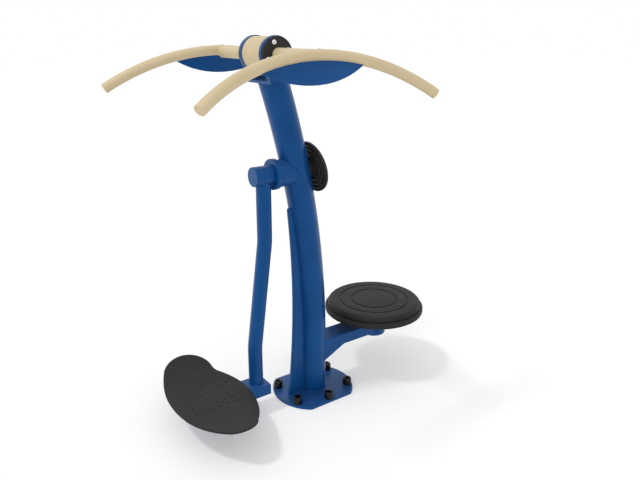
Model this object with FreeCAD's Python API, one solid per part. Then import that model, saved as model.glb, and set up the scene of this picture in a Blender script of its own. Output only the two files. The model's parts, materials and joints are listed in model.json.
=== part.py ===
import FreeCAD, Part
import math
import os

Vector = FreeCAD.Vector
Placement = FreeCAD.Placement
Rotation = FreeCAD.Rotation

# Outdoor pendulum twister: a leaning post with a swinging foot board on one side,
# a turning stand disc on the other, and a pair of arched handlebars on top.
# Lengths are in millimetres and angles in degrees. The origin is the centre of the
# base plate's underside, Z is up, +X points to the disc and -X to the foot board.
# The object is symmetric about the XZ plane; "left" is +Y and "right" is -Y.

# Fits
seat_clearance = 0.05
ball_clearance = 0.08
weld_sink = 1.0

# Base plate and the covers over its anchor bolts
plate_radius = 181.5
plate_half_width = 146.5
plate_thickness = 10.0
plate_edge_round = 2.0
anchor_hole_diameter = 18.0
anchor_corner_length = 136.5
anchor_corner_width = 79.0
anchor_side_width = 123.5
anchor_cap_diameter = 38.0
anchor_cap_height = 33.0
anchor_cap_wall = 3.0
anchor_cap_crown = 9.0

# Post: straight at the foot, then one long bend towards the foot board
post_diameter = 114.3
post_wall = 5.0
post_bend_start = 241.0
post_bend_radius = 3630.0
post_top_lean = 18.33

# Spine rib on the post's front
spine_thickness = 20.0
spine_top_height = 881.0
spine_foot_reach = 74.0
spine_waist_reach = 41.5
spine_tip_reach = 14.0
spine_edge_round = 7.0

# Pendulum pivot: distances along the axle are measured from the post's centre line
pivot_height = 1018.0
housing_diameter = 108.0
housing_reach = 97.0
spigot_diameter = 76.0
spigot_inset = 20.0
collar_diameter = 122.0
collar_thickness = 19.0
collar_edge_round = 3.0
collar_lip = 4.0
shaft_gap = 1.0
hub_gap = 2.5
hub_diameter = 77.0
hub_wall = 6.5
hub_length = 79.0
hub_cap_thickness = 4.0
hub_cap_spigot = 6.0
hub_cap_round = 3.0
axle_diameter = 30.0
axle_shoulder_diameter = 38.0
axle_thread_diameter = 24.0
axle_flange_thickness = 10.0
axle_flange_inset = 3.0
pivot_bearing_outside = 62.0
pivot_bearing_width = 16.0
pivot_ball_diameter = 10.0

# Lock nuts and washers, shared by the axle and the spindle
thread_end = 3.0
washer_thickness = 4.0
nut_height = 16.0
nut_over_thread = 12.0
washer_over_thread = 20.0
race_land = 3.2
ball_count = 8

# Pendulum tube, beam and foot board
tube_diameter = 60.3
tube_wall = 4.0
tube_setback = 32.0
tube_jog = 60.0
tube_upper_bend_height = 752.0
tube_lower_bend_height = 299.0
tube_bend_radius = 320.0
beam_width = 100.0
beam_height = 48.0
beam_bottom = 82.0
beam_wall = 4.0
beam_corner = 6.0
beam_inner_overhang = 43.0
beam_length = 373.0
beam_cap_thickness = 4.0
beam_cap_spigot = 8.0
bearer_length = 190.0
bearer_width = 40.0
bearer_thickness = 4.0
bearer_reach = 92.0
board_setback = 254.0
board_half_depth = 160.5
board_half_length = 315.0
board_bulge_radius = 400.0
board_lobe_radius = 99.0
board_lobe_offset = -6.0
board_waist_radius = 127.0
board_thickness = 12.0
board_flat_half = 138.0
board_step_length = 170.0
board_step_rise = 35.0
board_step_skew = 5.7
board_edge_round = 4.5
dimple_diameter = 18.0
dimple_depth = 2.5
dimple_pitch = 34.0
dimple_inset = 22.0
dimple_rows = 7
dimple_columns = 3
board_bolt_diameter = 10.0
board_bolt_depth = 9.0
board_bolt_reach = 75.0
bolt_head_height = 7.0
bolt_head_across = 17.0

# Twister arm and hub
twister_reach = 352.8
arm_width = 99.0
arm_top = 252.0
arm_depth = 53.0
arm_wall = 5.0
arm_corner = 5.0
gusset_end = 141.0
gusset_foot_height = 145.0
twister_hub_diameter = 114.3
twister_hub_bottom = 184.0
hub_shoulder = 4.0
hub_cover_thickness = 5.0
hub_cover_spigot = 4.0
nut_room = 26.0
spindle_diameter = 40.0
spindle_thread_diameter = 30.0
spindle_shoulder = 6.0
spindle_flange_diameter = 110.0
spindle_flange_thickness = 10.0
spindle_flange_gap = 5.0
twister_bearing_outside = 80.0
twister_bearing_width = 18.0
twister_bearing_inset = 4.0
twister_ball_diameter = 12.0

# Stand disc and its carrier
disc_top = 357.5
disc_top_radius = 199.0
disc_step_radius = 221.0
disc_step_depth = 3.0
disc_step_width = 2.0
disc_rim_radius = 229.3
disc_rim_top = 322.5
disc_rim_bottom = 302.0
disc_skin = 12.0
disc_skirt = 8.0
disc_edge_round = 26.0
disc_rim_round = 4.5
groove_radii = (100.0, 148.7)
groove_width = 5.0
groove_depth = 2.0
rib_count = 8
rib_thickness = 6.0
rib_drop = 14.0
carrier_diameter = 240.0
carrier_thickness = 8.0
carrier_bolt_circle_diameter = 190.0
carrier_bolt_count = 4
carrier_bolt_diameter = 10.0
carrier_bolt_depth = 8.0

# Head: yoke, drum and end caps, leaning with the post
yoke_drop = 89.0
yoke_plate_thickness = 10.0
yoke_plate_half_width = 59.0
ear_diameter = 131.0
ear_thickness = 18.0
ear_edge_round = 2.0
band_diameter = 124.0
band_wall = 5.0
band_length = 124.0
end_cap_diameter = 126.0
end_cap_thickness = 8.0
end_cap_round = 2.5
screw_circle_diameter = 90.0
screw_count = 4
screw_first_angle = 2.0
screw_diameter = 10.0
screw_depth = 10.0
screw_head_diameter = 19.0
screw_head_height = 6.0
screw_head_round = 2.5
screw_recess_diameter = 25.0
screw_recess_depth = 2.0

# Handlebars: each a flat arc that slopes down and outwards
cross_tube_diameter = 48.3
cross_tube_wall = 6.0
cross_tube_setback = 12.0
handle_diameter = 39.0
handle_wall = 3.0
handle_reach = 343.0
handle_rise = 5.5
handle_shift = 4.0
handle_radius = 760.0
handle_half_angle = 37.2
handle_slope = 61.8
plug_thickness = 3.0
plug_spigot = 14.0
plug_round = 2.0
web_thickness = 6.0
web_half_length = 170.0
web_offset = -8.0
web_depth = 93.0
web_slope = 67.4
web_tip_depth = 4.0
web_edge_round = 1.2

# Round pad behind the post, over the service opening for the axle's nut
pad_height = 1011.0
pad_diameter = 206.0
pad_standoff = 15.0
pad_depth = 11.0
pad_skin = 5.0
pad_rim = 6.0
pad_edge_round = 4.0
pad_crown = 2.0
pad_hub_diameter = 90.0
pad_rib_radii = (58.0, 74.0, 88.0)
pad_rib_thickness = 4.0
pad_rib_recess = 1.0
pad_mount_diameter = 82.0
service_opening_diameter = 68.0
pad_spigot = 14.0

origin = Vector(0, 0, 0)
east = Vector(1, 0, 0)
west = Vector(-1, 0, 0)
north = Vector(0, 1, 0)
up = Vector(0, 0, 1)

# Worked-out sizes
post_radius = post_diameter / 2
hub_radius = hub_diameter / 2
hub_bore = hub_radius - hub_wall
tube_radius = tube_diameter / 2
handle_tube_radius = handle_diameter / 2
spindle_radius = spindle_diameter / 2
collar_face = housing_reach + collar_thickness
hub_start = collar_face + hub_gap
hub_end = hub_start + hub_length
front_bearing_end = housing_reach - collar_lip
front_bearing_start = front_bearing_end - pivot_bearing_width
rear_bearing_start = spigot_inset
rear_bearing_end = rear_bearing_start + pivot_bearing_width
beam_top = beam_bottom + beam_height
board_bottom = beam_top
arm_bottom = arm_top - arm_depth
carrier_top = disc_top - disc_skin
carrier_bottom = carrier_top - carrier_thickness
spindle_flange_bottom = carrier_bottom - spindle_flange_thickness
twister_hub_top = spindle_flange_bottom - spindle_flange_gap
twister_hub_foot = twister_hub_bottom + hub_cover_thickness
upper_bearing_end = twister_hub_top - twister_bearing_inset
upper_bearing_start = upper_bearing_end - twister_bearing_width
lower_bearing_start = twister_hub_foot + nut_room
lower_bearing_end = lower_bearing_start + twister_bearing_width
ear_inner = band_length / 2
ear_outer = ear_inner + ear_thickness
cap_outer = ear_outer + end_cap_thickness
pad_offset = post_radius + pad_standoff


def cylinder(radius, start, end):
    along = end - start
    return Part.makeCylinder(radius, along.Length, start, along)


def tube(outer_radius, inner_radius, start, end):
    return cylinder(outer_radius, start, end).cut(cylinder(inner_radius, start, end))


def face_of(points):
    return Part.Face(Part.makePolygon(points + points[:1]))


def placed(shape, placement):
    moved = shape.copy()
    moved.Placement = placement.multiply(moved.Placement)
    return moved


def mirrored(shape):
    return shape.mirror(origin, north)


def rounded(solid, radius, *spots):
    """Fillet the edges that pass through the given spots."""
    marks = [Part.Vertex(spot) for spot in spots]
    edges = []
    for edge in solid.Edges:
        if any(edge.distToShape(mark)[0] < 0.001 for mark in marks):
            edges.append(edge)
    return solid.makeFillet(radius, edges)


def turned(profile, base, axis, rounds=()):
    """Turn a closed profile of (along, radius) points about an axis, and round chosen corners."""
    points = [Vector(radius, 0, along) for along, radius in profile]
    solid = face_of(points).revolve(origin, up, 360)
    for along, radius, fillet in rounds:
        solid = rounded(solid, fillet, Vector(0, radius, along))
    return placed(solid, Placement(base, Rotation(up, axis)))


def slab(outline, direction, half_thickness):
    """Extrude a face both ways along a direction."""
    sheet = outline.copy()
    sheet.translate(direction * -half_thickness)
    return sheet.extrude(direction * (2 * half_thickness))


def swept(path, radius):
    start = path.Edges[0]
    circle = Part.Circle(start.firstVertex().Point, start.tangentAt(start.FirstParameter), radius)
    return path.makePipeShell([Part.Wire([circle.toShape()])], True, False)


def hexagon_bar(across_flats, base, axis, height):
    reach = across_flats / math.sqrt(3)
    corners = []
    for step in range(6):
        angle = math.radians(60 * step)
        corners.append(Vector(reach * math.cos(angle), reach * math.sin(angle), 0))
    bar = face_of(corners).extrude(up * height)
    return placed(bar, Placement(base, Rotation(up, axis)))


def ring_places(count, radius, first_angle=0.0):
    """Points spaced evenly on a circle in the XY plane."""
    places = []
    for step in range(count):
        angle = math.radians(first_angle + 360.0 * step / count)
        places.append(Vector(radius * math.cos(angle), radius * math.sin(angle), 0))
    return places


def ball_bearing(bore, outside, width, ball_diameter, base, axis):
    """Outer race, inner race and balls of a bearing whose first face is at the base."""
    pitch = (bore + outside) / 4
    placement = Placement(base, Rotation(up, axis))
    middle = up * (width / 2)
    groove = Part.makeTorus(pitch, ball_diameter / 2 + ball_clearance, middle)
    outer = tube(outside / 2, pitch + race_land, origin, up * width).cut(groove)
    inner = tube(pitch - race_land, bore / 2, origin, up * width).cut(groove)
    balls = []
    for place in ring_places(ball_count, pitch):
        balls.append(Part.makeSphere(ball_diameter / 2, place + middle))
    return placed(outer, placement), placed(inner, placement), placed(Part.makeCompound(balls), placement)


def lock_nut(thread_diameter, base, axis):
    nut = hexagon_bar(thread_diameter + nut_over_thread, base, axis, nut_height)
    return nut.cut(cylinder(thread_diameter / 2 + seat_clearance, base, base + axis * nut_height))


def lock_washer(thread_diameter, base, axis):
    outer = (thread_diameter + washer_over_thread) / 2
    return tube(outer, thread_diameter / 2 + seat_clearance, base, base + axis * washer_thickness)


def post_x(height):
    """X of the post's centre line at a height."""
    rise = max(0.0, height - post_bend_start)
    return math.sqrt(post_bend_radius ** 2 - rise ** 2) - post_bend_radius


def post_point(height):
    return Vector(post_x(height), 0, height)


def post_lean(height):
    return math.degrees(math.asin(max(0.0, height - post_bend_start) / post_bend_radius))


def post_path():
    top_rise = post_bend_radius * math.sin(math.radians(post_top_lean))
    middle_rise = post_bend_radius * math.sin(math.radians(post_top_lean / 2))
    foot = Vector(0, 0, plate_thickness)
    bend = post_point(post_bend_start)
    middle = post_point(post_bend_start + middle_rise)
    top = post_point(post_bend_start + top_rise)
    return Part.Wire([Part.makeLine(foot, bend), Part.Arc(bend, middle, top).toShape()])


post_line = post_path()
post_body = swept(post_line, post_radius)
post_top = post_line.Edges[-1].lastVertex().Point
head_axis = Vector(-math.sin(math.radians(post_top_lean)), 0, math.cos(math.radians(post_top_lean)))
head_place = Placement(post_top + head_axis * yoke_drop, Rotation(north, -post_top_lean))
pivot_base = post_point(pivot_height)
pad_base = post_point(pad_height)
pad_axis = Rotation(north, -post_lean(pad_height)).multVec(east)
tube_top = pivot_base + west * (hub_start + tube_setback)
tube_foot_x = tube_top.x - tube_jog
board_centre = Vector(tube_foot_x + beam_inner_overhang - board_setback, 0, board_bottom)
twister_base = Vector(twister_reach, 0, 0)


def pivot_at(along):
    return pivot_base + west * along


def twister_at(height):
    return twister_base + up * height


def anchor_places():
    corners = [(sx * anchor_corner_length, sy * anchor_corner_width) for sx in (-1, 1) for sy in (-1, 1)]
    sides = [(0, sy * anchor_side_width) for sy in (-1, 1)]
    return [Vector(x, y, 0) for x, y in corners + sides]


def make_base_plate():
    disc = cylinder(plate_radius, origin, up * plate_thickness)
    sheet = face_of([
        Vector(-plate_radius, -plate_half_width, 0),
        Vector(plate_radius, -plate_half_width, 0),
        Vector(plate_radius, plate_half_width, 0),
        Vector(-plate_radius, plate_half_width, 0),
    ])
    plate = disc.common(sheet.extrude(up * plate_thickness))
    top = up * plate_thickness
    arc_spot = Rotation(up, 5).multVec(east * plate_radius)
    spots = [north * plate_half_width, north * -plate_half_width, arc_spot, arc_spot * -1]
    plate = rounded(plate, plate_edge_round, *[spot + top for spot in spots])
    for place in anchor_places():
        plate = plate.cut(cylinder(anchor_hole_diameter / 2, place, place + top))
    return plate


def make_anchor_caps():
    outer = anchor_cap_diameter / 2
    shoulder = anchor_cap_height - anchor_cap_crown
    crown = outer - anchor_cap_crown
    wall = anchor_cap_wall
    profile = [
        (0, outer), (shoulder, outer), (anchor_cap_height, crown), (anchor_cap_height, 0),
        (anchor_cap_height - wall, 0), (anchor_cap_height - wall, crown - wall / 2),
        (shoulder - wall / 2, outer - wall), (0, outer - wall),
    ]
    rounds = [(shoulder, outer, anchor_cap_crown / 2), (anchor_cap_height, crown, anchor_cap_crown / 3)]
    caps = []
    for place in anchor_places():
        caps.append(turned(profile, place + up * plate_thickness, up, rounds))
    return Part.makeCompound(caps)


def make_main_post():
    bore = swept(post_line, post_radius - post_wall)
    post = post_body.cut(bore)
    spigot = cylinder(spigot_diameter / 2 + seat_clearance, pivot_base, pivot_at(housing_reach))
    service = cylinder(service_opening_diameter / 2, pad_base, pad_base + pad_axis * pad_offset)
    return post.cut(spigot).cut(service)


def make_post_spine():
    foot = Vector(-post_radius - spine_foot_reach, 0, plate_thickness)
    waist_height = (plate_thickness + spine_top_height) / 2
    waist = post_point(waist_height) + west * (post_radius + spine_waist_reach)
    normal = Rotation(north, -post_lean(spine_top_height)).multVec(west)
    tip = post_point(spine_top_height) + normal * (post_radius + spine_tip_reach)
    inside = [tip, post_point(spine_top_height), Vector(0, 0, plate_thickness), foot]
    edges = [Part.Arc(foot, waist, tip).toShape()]
    for start, end in zip(inside, inside[1:]):
        edges.append(Part.makeLine(start, end))
    spine = slab(Part.Face(Part.Wire(edges)), north, spine_thickness / 2).cut(post_body)
    spine = rounded(spine, spine_tip_reach * 0.8, tip)
    side = north * (spine_thickness / 2)
    return rounded(spine, spine_edge_round, waist + side, waist - side)


def make_pivot_housing():
    seat = pivot_bearing_outside / 2 + seat_clearance
    land = (pivot_bearing_outside + axle_diameter) / 4 + race_land
    body = cylinder(housing_diameter / 2, pivot_base, pivot_at(housing_reach)).cut(post_body)
    body = body.fuse(cylinder(spigot_diameter / 2, pivot_at(spigot_inset), pivot_at(housing_reach)))
    body = body.cut(cylinder(land, pivot_base, pivot_at(housing_reach)))
    body = body.cut(cylinder(seat, pivot_base, pivot_at(rear_bearing_end)))
    body = body.cut(cylinder(seat, pivot_at(front_bearing_start), pivot_at(housing_reach)))
    return body.removeSplitter()


def make_pivot_collar():
    shaft = axle_shoulder_diameter / 2 + shaft_gap
    lip_outer = pivot_bearing_outside / 2
    lip_inner = (pivot_bearing_outside + axle_diameter) / 4 + race_land
    profile = [
        (front_bearing_end, lip_outer), (housing_reach, lip_outer), (housing_reach, collar_diameter / 2),
        (collar_face, collar_diameter / 2), (collar_face, shaft), (housing_reach, shaft),
        (housing_reach, lip_inner), (front_bearing_end, lip_inner),
    ]
    rounds = [(collar_face, collar_diameter / 2, collar_edge_round)]
    return turned(profile, pivot_base, west, rounds)


def make_pivot_axle():
    thread = axle_thread_diameter / 2
    journal = axle_diameter / 2
    shoulder = axle_shoulder_diameter / 2
    flange = hub_bore - seat_clearance
    near = hub_start + axle_flange_inset
    far = hub_end - hub_cap_thickness - hub_cap_spigot - axle_flange_thickness
    tail = rear_bearing_start - washer_thickness - nut_height - thread_end
    profile = [
        (tail, 0), (tail, thread), (rear_bearing_start, thread), (rear_bearing_start, journal),
        (front_bearing_end, journal), (front_bearing_end, shoulder), (near, shoulder), (near, flange),
        (near + axle_flange_thickness, flange), (near + axle_flange_thickness, shoulder),
        (far, shoulder), (far, flange), (far + axle_flange_thickness, flange),
        (far + axle_flange_thickness, 0),
    ]
    return turned(profile, pivot_base, west)


def make_axle_spacer():
    outer = (pivot_bearing_outside + axle_diameter) / 4 - race_land
    inner = axle_diameter / 2 + seat_clearance
    return tube(outer, inner, pivot_at(rear_bearing_end), pivot_at(front_bearing_start))


def make_pendulum_hub():
    return tube(hub_radius, hub_bore, pivot_at(hub_start), pivot_at(hub_end - hub_cap_thickness))


def make_pendulum_hub_cap():
    seat = hub_end - hub_cap_thickness
    spigot = hub_bore - seat_clearance
    inner = spigot - hub_cap_thickness
    profile = [
        (seat - hub_cap_spigot, inner), (seat - hub_cap_spigot, spigot), (seat, spigot),
        (seat, hub_radius), (hub_end, hub_radius), (hub_end, 0), (seat, 0), (seat, inner),
    ]
    return turned(profile, pivot_base, west, [(hub_end, hub_radius, hub_cap_round)])


def make_pendulum_tube():
    """A tube with two opposite bends that carry the board further out from the post."""
    upper = Vector(tube_top.x, 0, tube_upper_bend_height)
    lower = Vector(tube_foot_x, 0, tube_lower_bend_height)
    foot = Vector(tube_foot_x, 0, beam_top)
    slant = (lower - upper).normalize()
    turn = slant.getAngle(up * -1)
    tangent = tube_bend_radius * math.tan(turn / 2)
    middle_gap = tube_bend_radius * (1 / math.cos(turn / 2) - 1)
    edges = []
    here = tube_top
    arrive = up * -1
    for corner, leave in ((upper, slant), (lower, up * -1)):
        start = corner - arrive * tangent
        end = corner + leave * tangent
        middle = corner + (leave - arrive).normalize() * middle_gap
        edges.append(Part.makeLine(here, start))
        edges.append(Part.Arc(start, middle, end).toShape())
        here = end
        arrive = leave
    edges.append(Part.makeLine(here, foot))
    path = Part.Wire(edges)
    body = swept(path, tube_radius).cut(swept(path, tube_radius - tube_wall))
    return body.cut(cylinder(hub_radius, pivot_at(hub_start - tube_radius), pivot_at(hub_end + tube_radius)))


def beam_section(inset, corner):
    """Rounded rectangle of the beam's section, in a plane across X."""
    half = beam_width / 2 - inset
    low = beam_bottom + inset
    high = beam_top - inset
    bar = face_of([Vector(0, -half, low), Vector(0, half, low), Vector(0, half, high), Vector(0, -half, high)])
    bar = bar.extrude(east)
    middle = Vector(0.5, 0, 0)
    spots = [Vector(0, sy * half, z) + middle for sy in (-1, 1) for z in (low, high)]
    solid = rounded(bar, corner, *spots)
    return [face for face in solid.Faces if abs(face.CenterOfMass.x) < 0.001][0]


def beam_bar(inset, corner, start_x, end_x):
    section = beam_section(inset, corner)
    section.translate(east * start_x)
    return section.extrude(east * (end_x - start_x))


beam_inner_x = tube_foot_x + beam_inner_overhang
beam_outer_x = beam_inner_x - beam_length


def make_foot_beam():
    inner_x = beam_inner_x - beam_cap_thickness
    outer_x = beam_outer_x + beam_cap_thickness
    outer = beam_bar(0, beam_corner, outer_x, inner_x)
    return outer.cut(beam_bar(beam_wall, beam_corner - beam_wall / 2, outer_x, inner_x))


def make_beam_cap(face_x, inward):
    """A plate over the beam's end with a rim that plugs into the section."""
    seat_x = face_x + inward * beam_cap_thickness
    rim_x = seat_x + inward * beam_cap_spigot
    inset = beam_wall + seat_clearance
    corner = beam_corner - beam_wall / 2
    plate = beam_bar(0, beam_corner, min(face_x, seat_x), max(face_x, seat_x))
    rim = beam_bar(inset, corner, min(seat_x, rim_x), max(seat_x, rim_x))
    hollow = beam_bar(inset + beam_cap_thickness, corner / 2, min(seat_x, rim_x), max(seat_x, rim_x))
    return plate.fuse(rim.cut(hollow)).removeSplitter()


def bearer_places():
    return [board_centre + east * (side * bearer_reach) for side in (-1, 1)]


def board_bolt_places():
    places = []
    for bearer in bearer_places():
        for side in (-1, 1):
            places.append(bearer + north * (side * board_bolt_reach))
    return places


def bearer_blanks():
    half_x = bearer_width / 2
    half_y = bearer_length / 2
    bearers = []
    for place in bearer_places():
        bearers.append(face_of([
            place + Vector(-half_x, -half_y, 0), place + Vector(half_x, -half_y, 0),
            place + Vector(half_x, half_y, 0), place + Vector(-half_x, half_y, 0),
        ]).extrude(up * bearer_thickness))
    return Part.makeCompound(bearers)


def board_bolt_holes():
    holes = []
    for place in board_bolt_places():
        holes.append(cylinder(board_bolt_diameter / 2 + seat_clearance, place, place + up * board_bolt_depth))
    return Part.makeCompound(holes)


def make_board_bearers():
    """Cross plates on the beam, let into the board's underside."""
    return bearer_blanks().cut(board_bolt_holes())


def make_board_bolts():
    bolts = []
    for place in board_bolt_places():
        shank = cylinder(board_bolt_diameter / 2, place, place + up * board_bolt_depth)
        head = hexagon_bar(bolt_head_across, place - up * bolt_head_height, up, bolt_head_height)
        bolts.append(shank.fuse(head).removeSplitter())
    return Part.makeCompound(bolts)


def board_outline():
    """Plan of the foot board: a bulged front, two round lobes, and one long arc at the back."""
    lobe = Vector(board_lobe_offset, board_half_length - board_lobe_radius, 0)
    bulge = Vector(board_half_depth - board_bulge_radius, 0, 0)
    lobe_reach = board_lobe_radius + board_waist_radius
    bulge_reach = board_bulge_radius + board_waist_radius
    span = lobe - bulge
    along = (span.Length ** 2 + bulge_reach ** 2 - lobe_reach ** 2) / (2 * span.Length)
    aside = math.sqrt(bulge_reach ** 2 - along ** 2)
    line = span.normalize()
    waist = bulge + line * along + Vector(line.y, -line.x, 0) * aside
    bulge_end = bulge + (waist - bulge).normalize() * board_bulge_radius
    lobe_start = lobe + (waist - lobe).normalize() * board_lobe_radius
    bisector = ((bulge_end - waist) + (lobe_start - waist)).normalize()
    waist_middle = waist + bisector * board_waist_radius
    tip = lobe + north * board_lobe_radius
    offset = board_half_depth + board_lobe_offset
    back_radius = (offset ** 2 + lobe.y ** 2 - board_lobe_radius ** 2) / (2 * (offset - board_lobe_radius))
    back_centre = Vector(back_radius - board_half_depth, 0, 0)
    lobe_end = back_centre + (lobe - back_centre).normalize() * back_radius

    def across(point):
        return Vector(point.x, -point.y, 0)

    arcs = [
        Part.Arc(across(bulge_end), Vector(board_half_depth, 0, 0), bulge_end),
        Part.Arc(bulge_end, waist_middle, lobe_start),
        Part.Arc(lobe_start, tip, lobe_end),
        Part.Arc(lobe_end, Vector(-board_half_depth, 0, 0), across(lobe_end)),
        Part.Arc(across(lobe_end), across(tip), across(lobe_start)),
        Part.Arc(across(lobe_start), across(waist_middle), across(bulge_end)),
    ]
    return Part.Face(Part.Wire([arc.toShape() for arc in arcs]))


def board_rise():
    """Section of the board's left half, across its bend lines: flat, then one S step up to the end."""
    half_step = board_step_length / 2
    bend = (half_step ** 2 + (board_step_rise / 2) ** 2) / board_step_rise
    sweep = math.asin(half_step / bend)
    step_end = board_flat_half + board_step_length
    margin = 4 * board_thickness

    def hollow(height, angle):
        reach = bend + board_thickness / 2 - height
        along = board_flat_half + reach * math.sin(angle)
        return Vector(0, along, bend + board_thickness / 2 - reach * math.cos(angle))

    def crown(height, angle):
        reach = bend - board_thickness / 2 + height
        along = step_end - reach * math.sin(angle)
        drop = bend - board_thickness / 2 - board_step_rise
        return Vector(0, along, reach * math.cos(angle) - drop)

    def level(along, height):
        return Vector(0, along, height)

    def arc(curve, height, angles):
        return Part.Arc(*[curve(height, angle) for angle in angles]).toShape()

    top = board_thickness
    opening = (0, sweep / 2, sweep)
    closing = (sweep, sweep / 2, 0)
    end_low = level(step_end + margin, board_step_rise)
    end_high = level(step_end + margin, board_step_rise + top)
    edges = [
        Part.makeLine(level(-margin, 0), hollow(0, 0)),
        arc(hollow, 0, opening),
        arc(crown, 0, closing),
        Part.makeLine(crown(0, 0), end_low),
        Part.makeLine(end_low, end_high),
        Part.makeLine(end_high, crown(top, 0)),
        arc(crown, top, opening),
        arc(hollow, top, closing),
        Part.makeLine(hollow(top, 0), level(-margin, top)),
        Part.makeLine(level(-margin, top), level(-margin, 0)),
    ]
    return Part.Face(Part.Wire(edges))


def is_wall(face):
    first_u, last_u, first_v, last_v = face.ParameterRange
    return abs(face.normalAt((first_u + last_u) / 2, (first_v + last_v) / 2).z) < 0.001


def board_dimples():
    """Shallow round hollows for grip, in rows on the flat of the board under each foot."""
    rim = dimple_diameter / 2
    ball_radius = (rim ** 2 + dimple_depth ** 2) / (2 * dimple_depth)
    top = up * board_thickness
    ball = Part.makeSphere(ball_radius, top + up * (ball_radius - dimple_depth))
    hollow = ball.common(cylinder(rim + weld_sink, top - up * dimple_depth, top + up * weld_sink))
    hollows = []
    for row in range(dimple_rows):
        along = east * (dimple_pitch * (row - (dimple_rows - 1) / 2))
        for column in range(dimple_columns):
            across = north * (dimple_inset + dimple_pitch * column)
            for place in (along + across, along - across):
                copy = hollow.copy()
                copy.translate(place)
                hollows.append(copy)
    return Part.makeCompound(hollows)


def make_foot_board():
    """A moulded board whose two ends step up along slightly skewed bend lines."""
    tall = board_thickness + 2 * board_step_rise
    reach = board_half_depth + board_half_length
    plan = board_outline().extrude(up * tall)
    left_side = face_of([Vector(-reach, 0, 0), Vector(reach, 0, 0), Vector(reach, reach, 0), Vector(-reach, reach, 0)])
    left = slab(board_rise(), east, reach)
    left.rotate(origin, up, board_step_skew)
    left = left.common(left_side.extrude(up * tall))
    board = left.fuse(mirrored(left)).removeSplitter().common(plan)
    rims = []
    for edge in board.Edges:
        walls = [is_wall(face) for face in board.ancestorsOfType(edge, Part.Face)]
        if any(walls) and not all(walls):
            rims.append(edge)
    board = board.makeFillet(board_edge_round, rims).cut(board_dimples())
    board.translate(board_centre)
    return board.cut(bearer_blanks()).cut(board_bolt_holes())


def make_twister_arm():
    """A box arm, open at both ends, whose underside drops to a gusset at the post."""
    side = arm_width / 2
    gusset_x = math.sqrt(post_radius ** 2 - side ** 2)
    fall = (arm_bottom - gusset_foot_height) / (gusset_end - gusset_x)
    outline = face_of([
        Vector(0, 0, arm_top), Vector(twister_reach, 0, arm_top), Vector(twister_reach, 0, arm_bottom),
        Vector(gusset_end, 0, arm_bottom), Vector(0, 0, arm_bottom - fall * gusset_end),
    ])
    spots = []
    for sy in (-side, side):
        spots.append(Vector(twister_reach / 2, sy, arm_top))
        spots.append(Vector((gusset_end + twister_reach) / 2, sy, arm_bottom))
        spots.append(Vector(gusset_end / 2, sy, arm_bottom - fall * gusset_end / 2))
    arm = rounded(slab(outline, north, side), arm_corner, *spots)
    hollow = slab(outline.makeOffset2D(-arm_wall), north, side - arm_wall)
    hub = cylinder(twister_hub_diameter / 2, twister_at(0), twister_at(disc_top))
    return arm.cut(hollow).cut(post_body).cut(hub)


def make_twister_hub():
    outer = twister_hub_diameter / 2
    seat = twister_bearing_outside / 2 + seat_clearance
    bore = seat - hub_shoulder
    profile = [
        (twister_hub_foot, outer), (twister_hub_top, outer), (twister_hub_top, seat),
        (upper_bearing_start, seat), (upper_bearing_start, bore), (lower_bearing_end, bore),
        (lower_bearing_end, seat), (twister_hub_foot, seat),
    ]
    return turned(profile, twister_base, up)


def make_hub_bottom_cover():
    outer = twister_hub_diameter / 2
    spigot = twister_bearing_outside / 2
    inner = spigot - hub_cover_thickness
    rim = twister_hub_foot + hub_cover_spigot
    profile = [
        (twister_hub_bottom, 0), (twister_hub_bottom, outer), (twister_hub_foot, outer),
        (twister_hub_foot, spigot), (rim, spigot), (rim, inner), (twister_hub_foot, inner),
        (twister_hub_foot, 0),
    ]
    return turned(profile, twister_base, up, [(twister_hub_bottom, outer, hub_cover_thickness / 2)])


def make_twister_spindle():
    thread = spindle_thread_diameter / 2
    shoulder = spindle_radius + spindle_shoulder
    flange = spindle_flange_diameter / 2
    tail = lower_bearing_start - washer_thickness - nut_height - thread_end
    profile = [
        (tail, 0), (tail, thread), (lower_bearing_start, thread), (lower_bearing_start, spindle_radius),
        (upper_bearing_end, spindle_radius), (upper_bearing_end, shoulder),
        (spindle_flange_bottom, shoulder), (spindle_flange_bottom, flange), (carrier_bottom, flange),
        (carrier_bottom, 0),
    ]
    return turned(profile, twister_base, up)


def make_spindle_spacer():
    outer = (twister_bearing_outside + spindle_diameter) / 4 - race_land
    inner = spindle_radius + seat_clearance
    return tube(outer, inner, twister_at(lower_bearing_end), twister_at(upper_bearing_start))


def carrier_bolt_places():
    return [twister_base + place for place in ring_places(carrier_bolt_count, carrier_bolt_circle_diameter / 2, 45)]


def make_disc_carrier():
    plate = cylinder(carrier_diameter / 2, twister_at(carrier_bottom), twister_at(carrier_top))
    for place in carrier_bolt_places():
        shank = carrier_bolt_diameter / 2 + seat_clearance
        plate = plate.cut(cylinder(shank, place + up * carrier_bottom, place + up * carrier_top))
    return plate


def make_carrier_bolts():
    bolts = []
    for place in carrier_bolt_places():
        seat = place + up * carrier_bottom
        tip = place + up * (carrier_top + carrier_bolt_depth)
        head = hexagon_bar(bolt_head_across, seat - up * bolt_head_height, up, bolt_head_height)
        bolts.append(cylinder(carrier_bolt_diameter / 2, seat, tip).fuse(head).removeSplitter())
    return Part.makeCompound(bolts)


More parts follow.
